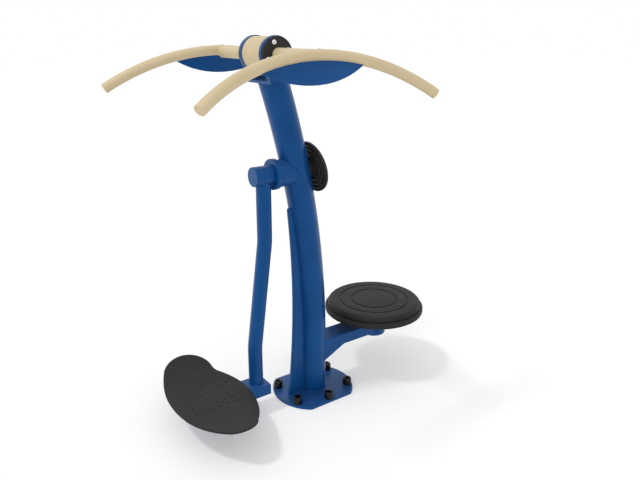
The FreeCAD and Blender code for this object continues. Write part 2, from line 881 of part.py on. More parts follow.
def make_twister_disc():
    """A moulded disc: grooved top, flared skirt with a stepped rim, and ribs under the skin."""
    inner_top = disc_top_radius - disc_skirt
    inner_rim = disc_step_radius - disc_skirt
    step_floor = disc_rim_top - disc_step_depth
    step_end = disc_step_radius + disc_step_width
    profile = [(disc_top, 0)]
    for radius in groove_radii:
        near = radius - groove_width / 2
        far = radius + groove_width / 2
        profile += [(disc_top, near), (disc_top - groove_depth, near)]
        profile += [(disc_top - groove_depth, far), (disc_top, far)]
    profile += [
        (disc_top, disc_top_radius), (disc_rim_top, disc_step_radius), (step_floor, disc_step_radius),
        (step_floor, step_end), (disc_rim_top, step_end), (disc_rim_top, disc_rim_radius),
        (disc_rim_bottom, disc_rim_radius), (disc_rim_bottom, inner_rim), (step_floor, inner_rim),
        (carrier_top, inner_top), (carrier_top, 0),
    ]
    rounds = [
        (disc_top, disc_top_radius, disc_edge_round),
        (disc_rim_top, disc_rim_radius, disc_rim_round),
        (disc_rim_bottom, disc_rim_radius, disc_rim_round),
    ]
    disc = turned(profile, twister_base, up, rounds)
    rib_start = carrier_diameter / 2 + rib_thickness
    fall = (inner_rim - inner_top) / (carrier_top - step_floor)
    rib_low = carrier_top - rib_drop
    rib = face_of([
        Vector(rib_start, 0, carrier_top + weld_sink), Vector(inner_top, 0, carrier_top + weld_sink),
        Vector(inner_top + fall * rib_drop + weld_sink, 0, rib_low), Vector(rib_start, 0, rib_low),
    ])
    rib = slab(rib, north, rib_thickness / 2)
    for step in range(rib_count):
        turn = Placement(twister_base, Rotation(up, 360.0 * step / rib_count))
        disc = disc.fuse(placed(rib, turn))
    for place in carrier_bolt_places():
        tip = place + up * (carrier_top + carrier_bolt_depth)
        hole = cylinder(carrier_bolt_diameter / 2 + seat_clearance, place + up * carrier_top, tip)
        disc = disc.cut(hole)
    return disc.removeSplitter()


def screw_places():
    """Screw centres in the head's own frame, in its plane across Y."""
    upright = Rotation(east, 90)
    ring = ring_places(screw_count, screw_circle_diameter / 2, screw_first_angle)
    return [upright.multVec(place) for place in ring]


def make_head_yoke():
    """A plate on the post's end with two round-topped ears that hold the drum."""
    radius = ear_diameter / 2
    floor = yoke_plate_thickness - yoke_drop
    half = yoke_plate_half_width
    ear_side = Vector(half, 0, -math.sqrt(max(0.0, radius ** 2 - half ** 2)))
    ear = Part.Face(Part.Wire([
        Part.Arc(ear_side, up * radius, Vector(-ear_side.x, 0, ear_side.z)).toShape(),
        Part.makeLine(Vector(-ear_side.x, 0, ear_side.z), Vector(-half, 0, floor)),
        Part.makeLine(Vector(-half, 0, floor), Vector(half, 0, floor)),
        Part.makeLine(Vector(half, 0, floor), ear_side),
    ]))
    ear = ear.extrude(north * ear_thickness)
    ear = rounded(ear, ear_edge_round, up * radius, up * radius + north * ear_thickness)
    ear.translate(north * ear_inner)
    plate = face_of([
        Vector(-half, -ear_outer, -yoke_drop), Vector(half, -ear_outer, -yoke_drop),
        Vector(half, ear_outer, -yoke_drop), Vector(-half, ear_outer, -yoke_drop),
    ]).extrude(up * yoke_plate_thickness)
    yoke = plate.fuse([ear, mirrored(ear)])
    bore = cross_tube_diameter / 2 + seat_clearance
    yoke = yoke.cut(cylinder(bore, north * -ear_outer, north * ear_outer))
    for place in screw_places():
        for side in (-1, 1):
            outer = place + north * (side * ear_outer)
            yoke = yoke.cut(cylinder(screw_diameter / 2 + seat_clearance, outer, outer - north * (side * screw_depth)))
    return placed(yoke.removeSplitter(), head_place)


def make_head_band():
    radius = band_diameter / 2
    band = tube(radius, radius - band_wall, north * -ear_inner, north * ear_inner)
    return placed(band, head_place)


def make_head_cap():
    """The left end cap; the right one is its mirror image."""
    radius = end_cap_diameter / 2
    bore = cross_tube_diameter / 2 + seat_clearance
    profile = [(ear_outer, bore), (cap_outer, bore), (cap_outer, radius), (ear_outer, radius)]
    cap = turned(profile, origin, north, [(cap_outer, radius, end_cap_round)])
    for place in screw_places():
        face = place + north * cap_outer
        hole = cylinder(screw_diameter / 2 + seat_clearance, place + north * ear_outer, face)
        recess = cylinder(screw_recess_diameter / 2, face - north * screw_recess_depth, face)
        cap = cap.cut(hole).cut(recess)
    return placed(cap, head_place)


def make_cap_screws():
    head = screw_head_diameter / 2
    shank = screw_diameter / 2
    seat = cap_outer - screw_recess_depth
    tip = ear_outer - screw_depth
    top = seat + screw_head_height
    profile = [(tip, 0), (tip, shank), (seat, shank), (seat, head), (top, head), (top, 0)]
    screws = []
    for place in screw_places():
        screw = turned(profile, place, north, [(top, head, screw_head_round)])
        screws += [placed(screw, head_place), mirrored(placed(screw, head_place))]
    return Part.makeCompound(screws)


# The left handlebar lies in its own XY plane, with the arch's middle at the origin
# and Y towards its centre of curvature, before this placement tilts it outwards.
# Its web hangs from the same middle at a steeper slope.
handle_middle = head_place.Base + Vector(-handle_shift, handle_reach, handle_rise)
handle_place = Placement(handle_middle, Rotation(east, -handle_slope))
web_place = Placement(handle_middle, Rotation(east, -web_slope))
handle_centre = north * handle_radius


def handle_arch(radius):
    """A round bar along the arch."""
    circle = Part.Wire([Part.Circle(origin, east, radius).toShape()])
    start = Part.Face(circle)
    start.rotate(handle_centre, up, -handle_half_angle)
    return start.revolve(handle_centre, up, 2 * handle_half_angle)


def make_handlebar():
    bar = handle_arch(handle_tube_radius).cut(handle_arch(handle_tube_radius - handle_wall))
    return placed(bar, handle_place)


def make_handle_end_plugs():
    outer = handle_tube_radius
    spigot = outer - handle_wall - seat_clearance
    profile = [(-plug_spigot, 0), (-plug_spigot, spigot), (0, spigot), (0, outer), (plug_thickness, outer),
               (plug_thickness, 0)]
    plug = turned(profile, origin, east, [(plug_thickness, outer, plug_round)])
    far = plug.copy()
    far.rotate(handle_centre, up, handle_half_angle)
    near = plug.mirror(origin, east)
    near.rotate(handle_centre, up, -handle_half_angle)
    left = [placed(far, handle_place), placed(near, handle_place)]
    return Part.makeCompound(left + [mirrored(plug) for plug in left])


def make_handle_web():
    """A lens-shaped plate that fills the crown of the arch, seated under the bar."""
    seat_radius = handle_radius - handle_tube_radius

    def on_arc(along, radius):
        return Vector(along, handle_radius - math.sqrt(radius ** 2 - along ** 2), 0)

    near = web_offset - web_half_length
    far = web_offset + web_half_length
    belly = Vector(web_offset, web_depth, 0)
    near_tip = on_arc(near, seat_radius) + north * web_tip_depth
    far_tip = on_arc(far, seat_radius) + north * web_tip_depth
    outline = Part.Face(Part.Wire([
        Part.Arc(near_tip, belly, far_tip).toShape(),
        Part.makeLine(far_tip, on_arc(far, handle_radius)),
        Part.Arc(on_arc(far, handle_radius), origin, on_arc(near, handle_radius)).toShape(),
        Part.makeLine(on_arc(near, handle_radius), near_tip),
    ]))
    side = up * (web_thickness / 2)
    web = slab(outline, up, web_thickness / 2)
    web = rounded(web, web_edge_round, belly + side, belly - side)
    return placed(web, web_place).cut(placed(handle_arch(handle_tube_radius), handle_place))


def make_cross_tube():
    """A tube closed at both ends, which are coped to the handlebars."""
    radius = cross_tube_diameter / 2
    end = handle_reach - cross_tube_setback
    bore_end = handle_reach - handle_tube_radius - cross_tube_wall
    bar = cylinder(radius, north * -end, north * end)
    bar = bar.cut(cylinder(radius - cross_tube_wall, north * -bore_end, north * bore_end))
    bar.translate(head_place.Base)
    arch = placed(handle_arch(handle_tube_radius), handle_place)
    return bar.cut(arch).cut(mirrored(arch))


def make_pad_mount():
    boss = tube(pad_mount_diameter / 2, service_opening_diameter / 2, pad_base, pad_base + pad_axis * pad_offset)
    return boss.cut(post_body)


def make_round_pad():
    """A moulded pad with a crowned face and ring ribs in its hollow back."""
    radius = pad_diameter / 2
    floor = pad_depth - pad_skin
    hub = pad_hub_diameter / 2
    spigot = service_opening_diameter / 2 - seat_clearance
    profile = [(-pad_spigot, 0), (-pad_spigot, spigot), (0, spigot), (0, hub), (floor, hub)]
    for rib in pad_rib_radii:
        near = rib - pad_rib_thickness / 2
        far = rib + pad_rib_thickness / 2
        profile += [(floor, near), (pad_rib_recess, near), (pad_rib_recess, far), (floor, far)]
    profile += [(floor, radius - pad_rim), (0, radius - pad_rim), (0, radius), (pad_depth, radius), (pad_depth, 0)]
    pad = turned(profile, origin, up, [(pad_depth, radius, pad_edge_round)])
    crown_radius = (radius ** 2 + pad_crown ** 2) / (2 * pad_crown)
    crown = Part.makeSphere(crown_radius, up * (pad_depth + pad_crown - crown_radius))
    dome = crown.common(cylinder(radius - pad_edge_round, up * (pad_depth - weld_sink), up * (pad_depth + pad_crown)))
    pad = pad.fuse(dome).removeSplitter()
    return placed(pad, Placement(pad_base + pad_axis * pad_offset, Rotation(up, pad_axis)))


def pivot_bearing(start):
    return ball_bearing(axle_diameter + 2 * seat_clearance, pivot_bearing_outside, pivot_bearing_width,
                        pivot_ball_diameter, pivot_at(start), west)


def twister_bearing(start):
    return ball_bearing(spindle_diameter + 2 * seat_clearance, twister_bearing_outside, twister_bearing_width,
                        twister_ball_diameter, twister_at(start), up)


def build_parts():
    parts = {
        "base_plate": make_base_plate(),
        "anchor_caps": make_anchor_caps(),
        "main_post": make_main_post(),
        "post_spine": make_post_spine(),
        "pivot_housing": make_pivot_housing(),
        "pivot_collar": make_pivot_collar(),
        "pivot_axle": make_pivot_axle(),
        "axle_spacer": make_axle_spacer(),
        "axle_washer": lock_washer(axle_thread_diameter, pivot_at(rear_bearing_start), east),
        "axle_nut": lock_nut(axle_thread_diameter, pivot_at(rear_bearing_start - washer_thickness), east),
        "pendulum_hub": make_pendulum_hub(),
        "pendulum_hub_cap": make_pendulum_hub_cap(),
        "pendulum_tube": make_pendulum_tube(),
        "foot_beam": make_foot_beam(),
        "beam_cap_inner": make_beam_cap(beam_inner_x, -1),
        "beam_cap_outer": make_beam_cap(beam_outer_x, 1),
        "board_bearers": make_board_bearers(),
        "board_bolts": make_board_bolts(),
        "foot_board": make_foot_board(),
        "twister_arm": make_twister_arm(),
        "twister_hub": make_twister_hub(),
        "hub_bottom_cover": make_hub_bottom_cover(),
        "twister_spindle": make_twister_spindle(),
        "spindle_spacer": make_spindle_spacer(),
        "spindle_washer": lock_washer(spindle_thread_diameter, twister_at(lower_bearing_start), up * -1),
        "spindle_nut": lock_nut(spindle_thread_diameter, twister_at(lower_bearing_start - washer_thickness), up * -1),
        "disc_carrier": make_disc_carrier(),
        "carrier_bolts": make_carrier_bolts(),
        "twister_disc": make_twister_disc(),
        "head_yoke": make_head_yoke(),
        "head_band": make_head_band(),
        "head_cap_left": make_head_cap(),
        "head_cap_right": mirrored(make_head_cap()),
        "cap_screws": make_cap_screws(),
        "cross_tube": make_cross_tube(),
        "handlebar_left": make_handlebar(),
        "handlebar_right": mirrored(make_handlebar()),
        "handle_end_plugs": make_handle_end_plugs(),
        "handle_web_left": make_handle_web(),
        "handle_web_right": mirrored(make_handle_web()),
        "pad_mount": make_pad_mount(),
        "round_pad": make_round_pad(),
    }
    bearings = {
        "pivot_front": pivot_bearing(front_bearing_start),
        "pivot_rear": pivot_bearing(rear_bearing_start),
        "twister_upper": twister_bearing(upper_bearing_start),
        "twister_lower": twister_bearing(lower_bearing_start),
    }
    for name, (outer, inner, balls) in bearings.items():
        parts[name + "_outer_race"] = outer
        parts[name + "_inner_race"] = inner
        parts[name + "_balls"] = balls
    return parts


os.makedirs("parts", exist_ok=True)
for node, shape in build_parts().items():
    shape.exportStep("parts/" + node + ".step")
    print(node, len(shape.Solids), "solids", round(shape.Volume), "mm3", "valid", shape.isValid())
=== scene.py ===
import json
import math

import bmesh
import bpy
from mathutils import Matrix, Vector
from mathutils.bvhtree import BVHTree


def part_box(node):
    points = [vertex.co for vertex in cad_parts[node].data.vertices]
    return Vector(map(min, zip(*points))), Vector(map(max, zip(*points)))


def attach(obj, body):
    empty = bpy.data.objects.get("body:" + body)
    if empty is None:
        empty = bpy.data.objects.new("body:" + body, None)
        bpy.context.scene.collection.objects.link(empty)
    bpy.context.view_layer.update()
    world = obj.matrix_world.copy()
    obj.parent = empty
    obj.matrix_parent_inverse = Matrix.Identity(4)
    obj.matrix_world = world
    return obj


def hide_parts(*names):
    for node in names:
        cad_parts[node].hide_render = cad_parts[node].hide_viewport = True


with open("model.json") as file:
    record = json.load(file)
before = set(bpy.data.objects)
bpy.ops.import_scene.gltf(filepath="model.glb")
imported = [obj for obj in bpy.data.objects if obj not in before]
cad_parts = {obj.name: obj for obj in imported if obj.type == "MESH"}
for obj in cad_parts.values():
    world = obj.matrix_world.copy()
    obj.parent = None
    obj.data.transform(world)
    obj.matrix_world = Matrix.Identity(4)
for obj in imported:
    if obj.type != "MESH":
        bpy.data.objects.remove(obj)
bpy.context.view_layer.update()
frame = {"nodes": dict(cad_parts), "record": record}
nodes = frame["nodes"]
slotOfNode = {part["node"]: part["material_slot"] for part in frame["record"]["subparts"]}
print("frame loaded:", len(nodes), "nodes")


def feed(tree, node, values):  # links a socket, sets any other value
    for key, value in values.items():
        if isinstance(value, bpy.types.NodeSocket):
            tree.links.new(value, node.inputs[key])
        else:
            node.inputs[key].default_value = value


def addNode(tree, kind, settings=None, values=None):
    node = tree.nodes.new(kind)
    for key, value in (settings or {}).items():
        setattr(node, key, value)
    feed(tree, node, values or {})
    return node


def newGroup(name, kind, inputs, outputs):
    tree = bpy.data.node_groups.new(name, kind)
    for label, socketType, value in inputs:
        socket = tree.interface.new_socket(label, in_out="INPUT", socket_type=socketType)
        if value is not None:
            socket.default_value = value
    for label, socketType in outputs:
        tree.interface.new_socket(label, in_out="OUTPUT", socket_type=socketType)
    return tree, tree.nodes.new("NodeGroupInput"), tree.nodes.new("NodeGroupOutput")


def math2(tree, operation, first, second):
    return addNode(tree, "ShaderNodeMath", {"operation": operation}, {0: first, 1: second}).outputs[0]


def blendColour(tree, factor, first, second):  # by number, as the colour sockets share their names with others
    return addNode(tree, "ShaderNodeMix", {"data_type": "RGBA"}, {0: factor, 6: first, 7: second}).outputs[2]


def stretch(tree, source, low, high, newLow, newHigh):
    return addNode(tree, "ShaderNodeMapRange", values={
        "Value": source, "From Min": low, "From Max": high, "To Min": newLow, "To Max": newHigh,
    }).outputs["Result"]


def noise(tree, values):
    return addNode(tree, "ShaderNodeTexNoise", values=values).outputs[0]


def toLinear(level):
    level = level / 255
    return level / 12.92 if level <= 0.04045 else ((level + 0.055) / 1.055) ** 2.4


def colour(red, green, blue):
    return (toLinear(red), toLinear(green), toLinear(blue), 1.0)


# Effects that several finishes share

def makeCoatGrain():
    inputs = [
        ("Vector", "NodeSocketVector", None),
        ("Base", "NodeSocketColor", None),
        ("Shade", "NodeSocketColor", None),
        ("Cloud Scale", "NodeSocketFloat", 5.0),
        ("Grain Scale", "NodeSocketFloat", 900.0),
        ("Rough Low", "NodeSocketFloat", 0.35),
        ("Rough High", "NodeSocketFloat", 0.5),
    ]
    outputs = [("Color", "NodeSocketColor"), ("Roughness", "NodeSocketFloat"), ("Height", "NodeSocketFloat")]
    tree, given, result = newGroup("coatGrain", "ShaderNodeTree", inputs, outputs)
    place = given.outputs["Vector"]
    cloud = noise(tree, {"Vector": place, "Scale": given.outputs["Cloud Scale"], "Detail": 3.0})
    grain = noise(tree, {"Vector": place, "Scale": given.outputs["Grain Scale"], "Detail": 2.0, "Roughness": 0.6})
    drift = stretch(tree, cloud, 0.3, 0.7, 0.0, 1.0)
    speckle = stretch(tree, grain, 0.35, 0.65, -0.25, 0.25)
    shade = addNode(tree, "ShaderNodeMath", {"operation": "ADD", "use_clamp": True}, {0: drift, 1: speckle})
    tinted = blendColour(tree, shade.outputs[0], given.outputs["Base"], given.outputs["Shade"])
    rough = stretch(tree, grain, 0.3, 0.7, given.outputs["Rough Low"], given.outputs["Rough High"])
    feed(tree, result, {"Color": tinted, "Roughness": rough, "Height": grain})
    return tree


# Painted highlight: rounded edges get a paler colour, broken into patches
def makePaintedEdgeHighlight():
    inputs = [
        ("Vector", "NodeSocketVector", None),
        ("Width", "NodeSocketFloat", 0.002),
        ("Amount", "NodeSocketFloat", 0.5),
    ]
    tree, given, result = newGroup("paintedEdgeHighlight", "ShaderNodeTree", inputs, [("Mask", "NodeSocketFloat")])
    soft = addNode(tree, "ShaderNodeBevel", {"samples": 4}, {"Radius": given.outputs["Width"]})
    surface = addNode(tree, "ShaderNodeNewGeometry")
    facing = addNode(tree, "ShaderNodeVectorMath", {"operation": "DOT_PRODUCT"}, {
        0: soft.outputs["Normal"], 1: surface.outputs["Normal"],
    })
    edge = stretch(tree, facing.outputs["Value"], 0.98, 0.86, 0.0, 1.0)
    patches = noise(tree, {"Vector": given.outputs["Vector"], "Scale": 38.0, "Detail": 4.0})
    broken = stretch(tree, patches, 0.4, 0.62, 0.15, 1.0)
    highlightAndPatchTone = math2(tree, "MULTIPLY", edge, broken)
    feed(tree, result, {"Mask": math2(tree, "MULTIPLY", highlightAndPatchTone, given.outputs["Amount"])})
    return tree


def makeSettledDust():
    inputs = [
        ("Vector", "NodeSocketVector", None),
        ("Scale", "NodeSocketFloat", 14.0),
        ("Amount", "NodeSocketFloat", 0.2),
    ]
    tree, given, result = newGroup("settledDust", "ShaderNodeTree", inputs, [("Mask", "NodeSocketFloat")])
    surface = addNode(tree, "ShaderNodeNewGeometry")
    split = addNode(tree, "ShaderNodeSeparateXYZ", values={0: surface.outputs["Normal"]})
    upward = stretch(tree, split.outputs["Z"], 0.55, 1.0, 0.0, 1.0)
    drift = noise(tree, {
        "Vector": given.outputs["Vector"], "Scale": given.outputs["Scale"], "Detail": 5.0, "Roughness": 0.65,
    })
    cover = stretch(tree, drift, 0.35, 0.7, 0.3, 1.0)
    settled = math2(tree, "MULTIPLY", upward, cover)
    feed(tree, result, {"Mask": math2(tree, "MULTIPLY", settled, given.outputs["Amount"])})
    return tree


def makeMouldGrain():
    inputs = [
        ("Vector", "NodeSocketVector", None),
        ("Base", "NodeSocketColor", None),
        ("Worn", "NodeSocketColor", None),
        ("Pebble Scale", "NodeSocketFloat", 420.0),
        ("Rough Low", "NodeSocketFloat", 0.5),
        ("Rough High", "NodeSocketFloat", 0.7),
    ]
    outputs = [("Color", "NodeSocketColor"), ("Roughness", "NodeSocketFloat"), ("Height", "NodeSocketFloat")]
    tree, given, result = newGroup("mouldGrain", "ShaderNodeTree", inputs, outputs)
    pebble = addNode(tree, "ShaderNodeTexVoronoi", {"feature": "SMOOTH_F1"}, {
        "Vector": given.outputs["Vector"], "Scale": given.outputs["Pebble Scale"],
    })
    haze = noise(tree, {"Vector": given.outputs["Vector"], "Scale": 9.0, "Detail": 4.0})
    patch = stretch(tree, haze, 0.35, 0.7, 0.0, 1.0)
    tinted = blendColour(tree, patch, given.outputs["Base"], given.outputs["Worn"])
    rough = stretch(tree, haze, 0.3, 0.7, given.outputs["Rough Low"], given.outputs["Rough High"])
    feed(tree, result, {"Color": tinted, "Roughness": rough, "Height": pebble.outputs["Distance"]})
    return tree


coatGrain = makeCoatGrain()
paintedEdgeHighlight = makePaintedEdgeHighlight()
settledDust = makeSettledDust()
mouldGrain = makeMouldGrain()
print("shader groups ready")


# Finishes

def newMaterial(name):
    material = bpy.data.materials.new(name)
    material.use_nodes = True
    tree = material.node_tree
    place = tree.nodes.new("ShaderNodeTexCoord").outputs["Object"]
    return material, tree, tree.nodes["Principled BSDF"], place


def placeGroup(tree, group, place, values):
    return addNode(tree, "ShaderNodeGroup", {"node_tree": group}, {"Vector": place, **values})


def addBump(tree, height, strength, depth):
    values = {"Strength": strength, "Distance": depth, "Height": height}
    return addNode(tree, "ShaderNodeBump", values=values).outputs["Normal"]


bluePaintSpec = {
    "base": colour(14, 72, 130),
    "shade": colour(11, 63, 118),
    # painted edge highlight colour, a paler blue
    "highlightAndPatchTone": colour(84, 112, 150),
    "dust": colour(112, 122, 142),
    "grainScale": 700.0,
    "rough": (0.26, 0.38),
    "highlightWidth": 0.0018,
    "highlightAmount": 0.3,
    "dustAmount": 0.12,
    "dustRoughness": 0.5,
    "bump": 0.08,
    "bumpDepth": 0.0006,
    "specular": 0.5,
    "sheenTint": (0.2, 0.45, 0.9, 1.0),
}

tanPaintSpec = {
    "base": colour(209, 191, 154),
    "shade": colour(201, 182, 144),
    # painted edge highlight colour, a paler tan
    "highlightAndPatchTone": colour(222, 210, 178),
    "dust": colour(214, 205, 180),
    "grainScale": 800.0,
    "rough": (0.38, 0.5),
    "highlightWidth": 0.0016,
    "highlightAmount": 0.3,
    "dustAmount": 0.12,
    "dustRoughness": 0.5,
    "bump": 0.08,
    "bumpDepth": 0.0006,
    "specular": 0.4,
    "sheenTint": (1.0, 1.0, 1.0, 1.0),
}


def makePaint(name, spec):
    material, tree, shader, place = newMaterial(name)
    grain = placeGroup(tree, coatGrain, place, {
        "Base": spec["base"], "Shade": spec["shade"], "Grain Scale": spec["grainScale"],
        "Rough Low": spec["rough"][0], "Rough High": spec["rough"][1],
    })
    paintedHighlight = placeGroup(tree, paintedEdgeHighlight, place, {"Width": spec["highlightWidth"], "Amount": spec["highlightAmount"]})
    dust = placeGroup(tree, settledDust, place, {"Amount": spec["dustAmount"]})
    # paints the edge highlight colour onto the rounded edges
    highlitEdges = blendColour(tree, paintedHighlight.outputs["Mask"], grain.outputs["Color"], spec["highlightAndPatchTone"])
    dusty = blendColour(tree, dust.outputs["Mask"], highlitEdges, spec["dust"])
    dulled = math2(tree, "MULTIPLY", dust.outputs["Mask"], spec["dustRoughness"])
    feed(tree, shader, {
        "Base Color": dusty,
        "Roughness": math2(tree, "ADD", grain.outputs["Roughness"], dulled),
        "Specular IOR Level": spec["specular"],
        "Specular Tint": spec["sheenTint"],
        "Normal": addBump(tree, grain.outputs["Height"], spec["bump"], spec["bumpDepth"]),
    })
    return material


greyMouldingSpec = {
    "base": colour(37, 37, 38),
    "highlightAndPatchTone": colour(43, 43, 43),
    "dust": colour(82, 81, 78),
    "pebbleScale": 380.0,
    "rough": (0.5, 0.64),
    "dustAmount": 0.08,
    "bump": 0.22,
    "specular": 0.15,
}

blackRubberSpec = {
    "base": colour(42, 42, 42),
    "highlightAndPatchTone": colour(50, 49, 48),
    "dust": colour(66, 65, 63),
    "pebbleScale": 300.0,
    "rough": (0.55, 0.7),
    "dustAmount": 0.12,
    "bump": 0.2,
    "specular": 0.3,
}

blackPlasticSpec = {
    "base": colour(31, 29, 31),
    "highlightAndPatchTone": colour(38, 36, 38),
    "dust": colour(74, 72, 70),
    "pebbleScale": 520.0,
    "rough": (0.3, 0.45),
    "dustAmount": 0.10,
    "bump": 0.12,
    "specular": 0.3,
}

glossyCapSpec = {
    "base": colour(8, 8, 9),
    "highlightAndPatchTone": colour(13, 13, 14),
    "dust": colour(50, 50, 50),
    "pebbleScale": 520.0,
    "rough": (0.16, 0.24),
    "dustAmount": 0.02,
    "bump": 0.05,
    "specular": 0.3,
}


mouldingDustScale = 10.0
mouldingBumpDepth = 0.0008


def makeMoulding(name, spec):
    material, tree, shader, place = newMaterial(name)
    grain = placeGroup(tree, mouldGrain, place, {
        "Base": spec["base"], "Worn": spec["highlightAndPatchTone"], "Pebble Scale": spec["pebbleScale"],
        "Rough Low": spec["rough"][0], "Rough High": spec["rough"][1],
    })
    dust = placeGroup(tree, settledDust, place, {"Amount": spec["dustAmount"], "Scale": mouldingDustScale})
    dusty = blendColour(tree, dust.outputs["Mask"], grain.outputs["Color"], spec["dust"])
    feed(tree, shader, {
        "Base Color": dusty,
        "Roughness": grain.outputs["Roughness"],
        "Specular IOR Level": spec["specular"],
        "Normal": addBump(tree, grain.outputs["Height"], spec["bump"], mouldingBumpDepth),
    })
    return material


brightSteelSpec = {
    "base": colour(226, 226, 230),
    "shade": colour(196, 197, 204),
    "rough": (0.08, 0.2),
    "grainScale": 160.0,
}

machinedSteelSpec = {
    "base": colour(168, 168, 172),
    "shade": colour(140, 140, 146),
    "rough": (0.24, 0.42),
    "grainScale": 260.0,
}

steelCloudScale = 60.0
steelBump = 0.04
steelBumpDepth = 0.0004


def makeSteel(name, spec):
    material, tree, shader, place = newMaterial(name)
    grain = placeGroup(tree, coatGrain, place, {
        "Base": spec["base"], "Shade": spec["shade"],
        "Cloud Scale": steelCloudScale, "Grain Scale": spec["grainScale"],
        "Rough Low": spec["rough"][0], "Rough High": spec["rough"][1],
    })
    feed(tree, shader, {
        "Base Color": grain.outputs["Color"],
        "Roughness": grain.outputs["Roughness"],
        "Metallic": 1.0,
        "Normal": addBump(tree, grain.outputs["Height"], steelBump, steelBumpDepth),
    })
    return material


finishes = {
    "blue_paint": makePaint("bluePaint", bluePaintSpec),
    "tan_paint": makePaint("tanPaint", tanPaintSpec),
    "grey_moulding": makeMoulding("greyMoulding", greyMouldingSpec),
    "black_rubber": makeMoulding("blackRubber", blackRubberSpec),
    "black_plastic": makeMoulding("blackPlastic", blackPlasticSpec),
    "bright_steel": makeSteel("brightSteel", brightSteelSpec),
    "machined_steel": makeSteel("machinedSteel", machinedSteelSpec),
}

for name, node in nodes.items():
    node.data.materials.clear()
    node.data.materials.append(finishes[slotOfNode[name]])
print("finishes on", len(nodes), "nodes")


# Pieces made by Geometry Nodes

def buildPiece(name, mesh, tree, values):
    piece = bpy.data.objects.new(name, mesh)
    bpy.context.scene.collection.objects.link(piece)
    modifier = piece.modifiers.new("build", "NODES")
    modifier.node_group = tree
    for item in tree.interface.items_tree:
        if item.in_out == "INPUT" and item.name in values:
            modifier[item.identifier] = values[item.name]
    evaluated = piece.evaluated_get(bpy.context.evaluated_depsgraph_get())
    piece.data = bpy.data.meshes.new_from_object(evaluated)
    piece.data.name = name
    piece.modifiers.remove(modifier)
    bpy.data.meshes.remove(mesh)
    return piece


def newShapeTree(name, source, sizes):
    inputs = [(source, "NodeSocketGeometry", None)]
    inputs += [(size, "NodeSocketFloat", None) for size in sizes]
    inputs.append(("Finish", "NodeSocketMaterial", None))
    return newGroup(name, "GeometryNodeTree", inputs, [("Geometry", "NodeSocketGeometry")])


def finishTree(tree, geometry, given, result):
    real = addNode(tree, "GeometryNodeRealizeInstances", values={"Geometry": geometry})
    dress = addNode(tree, "GeometryNodeSetMaterial", values={
        "Geometry": real.outputs["Geometry"], "Material": given.outputs["Finish"],
    })
    feed(tree, result, {"Geometry": dress.outputs["Geometry"]})


def sharpen(tree, geometry, angle):
    smooth = addNode(tree, "GeometryNodeSetShadeSmooth", {"domain": "FACE"}, {"Geometry": geometry})
    corner = addNode(tree, "GeometryNodeInputMeshEdgeAngle").outputs["Unsigned Angle"]
    return addNode(tree, "GeometryNodeSetShadeSmooth", {"domain": "EDGE"}, {
        "Geometry": smooth.outputs["Geometry"],
        "Selection": math2(tree, "GREATER_THAN", corner, math.radians(angle)),
        "Shade Smooth": False,
    }).outputs["Geometry"]


# Cap screws and anchor caps: rounded heads with hexagon sockets, by one tree

screwSpec = {
    "headRadius": 0.0095,
    "headHeight": 0.006,
    "socketRadius": 0.0042,
    "socketDepth": 0.0032,
    "shankRadius": 0.005,
    "rimShare": 0.5,
    "shoulder": 0.9,
    "crown": 0.82,
    "sides": 24,
}

anchorCapSpec = {
    "headRadius": 0.0195,
    "headHeight": 0.033,
    "socketRadius": 0.0098,
    "socketDepth": 0.012,
    "shankRadius": 0.0085,
    "shankLength": 0.008,
    "rimShare": 0.78,
    "shoulder": 0.93,
    "crown": 0.88,
    "sides": 30,
}


headSpec = {
    "domeShares": (0.56, 0.3, 0.14),
    "socketTaper": 0.96,
    "sharpAngle": 35.0,
    "mergeGap": 0.00001,
}


def looseBoxes(name):
    work = bmesh.new()
    work.from_mesh(nodes[name].data)
    bmesh.ops.remove_doubles(work, verts=work.verts, dist=headSpec["mergeGap"])
    left = set(work.verts)
    boxes = []
    while left:
        island = [left.pop()]
        for vertex in island:  # grows while it is walked
            for edge in vertex.link_edges:
                other = edge.other_vert(vertex)
                if other in left:
                    left.remove(other)
                    island.append(other)
        box = [[pick(vertex.co[axis] for vertex in island) for axis in range(3)] for pick in (min, max)]
        boxes.append(box)
    work.free()
    return boxes


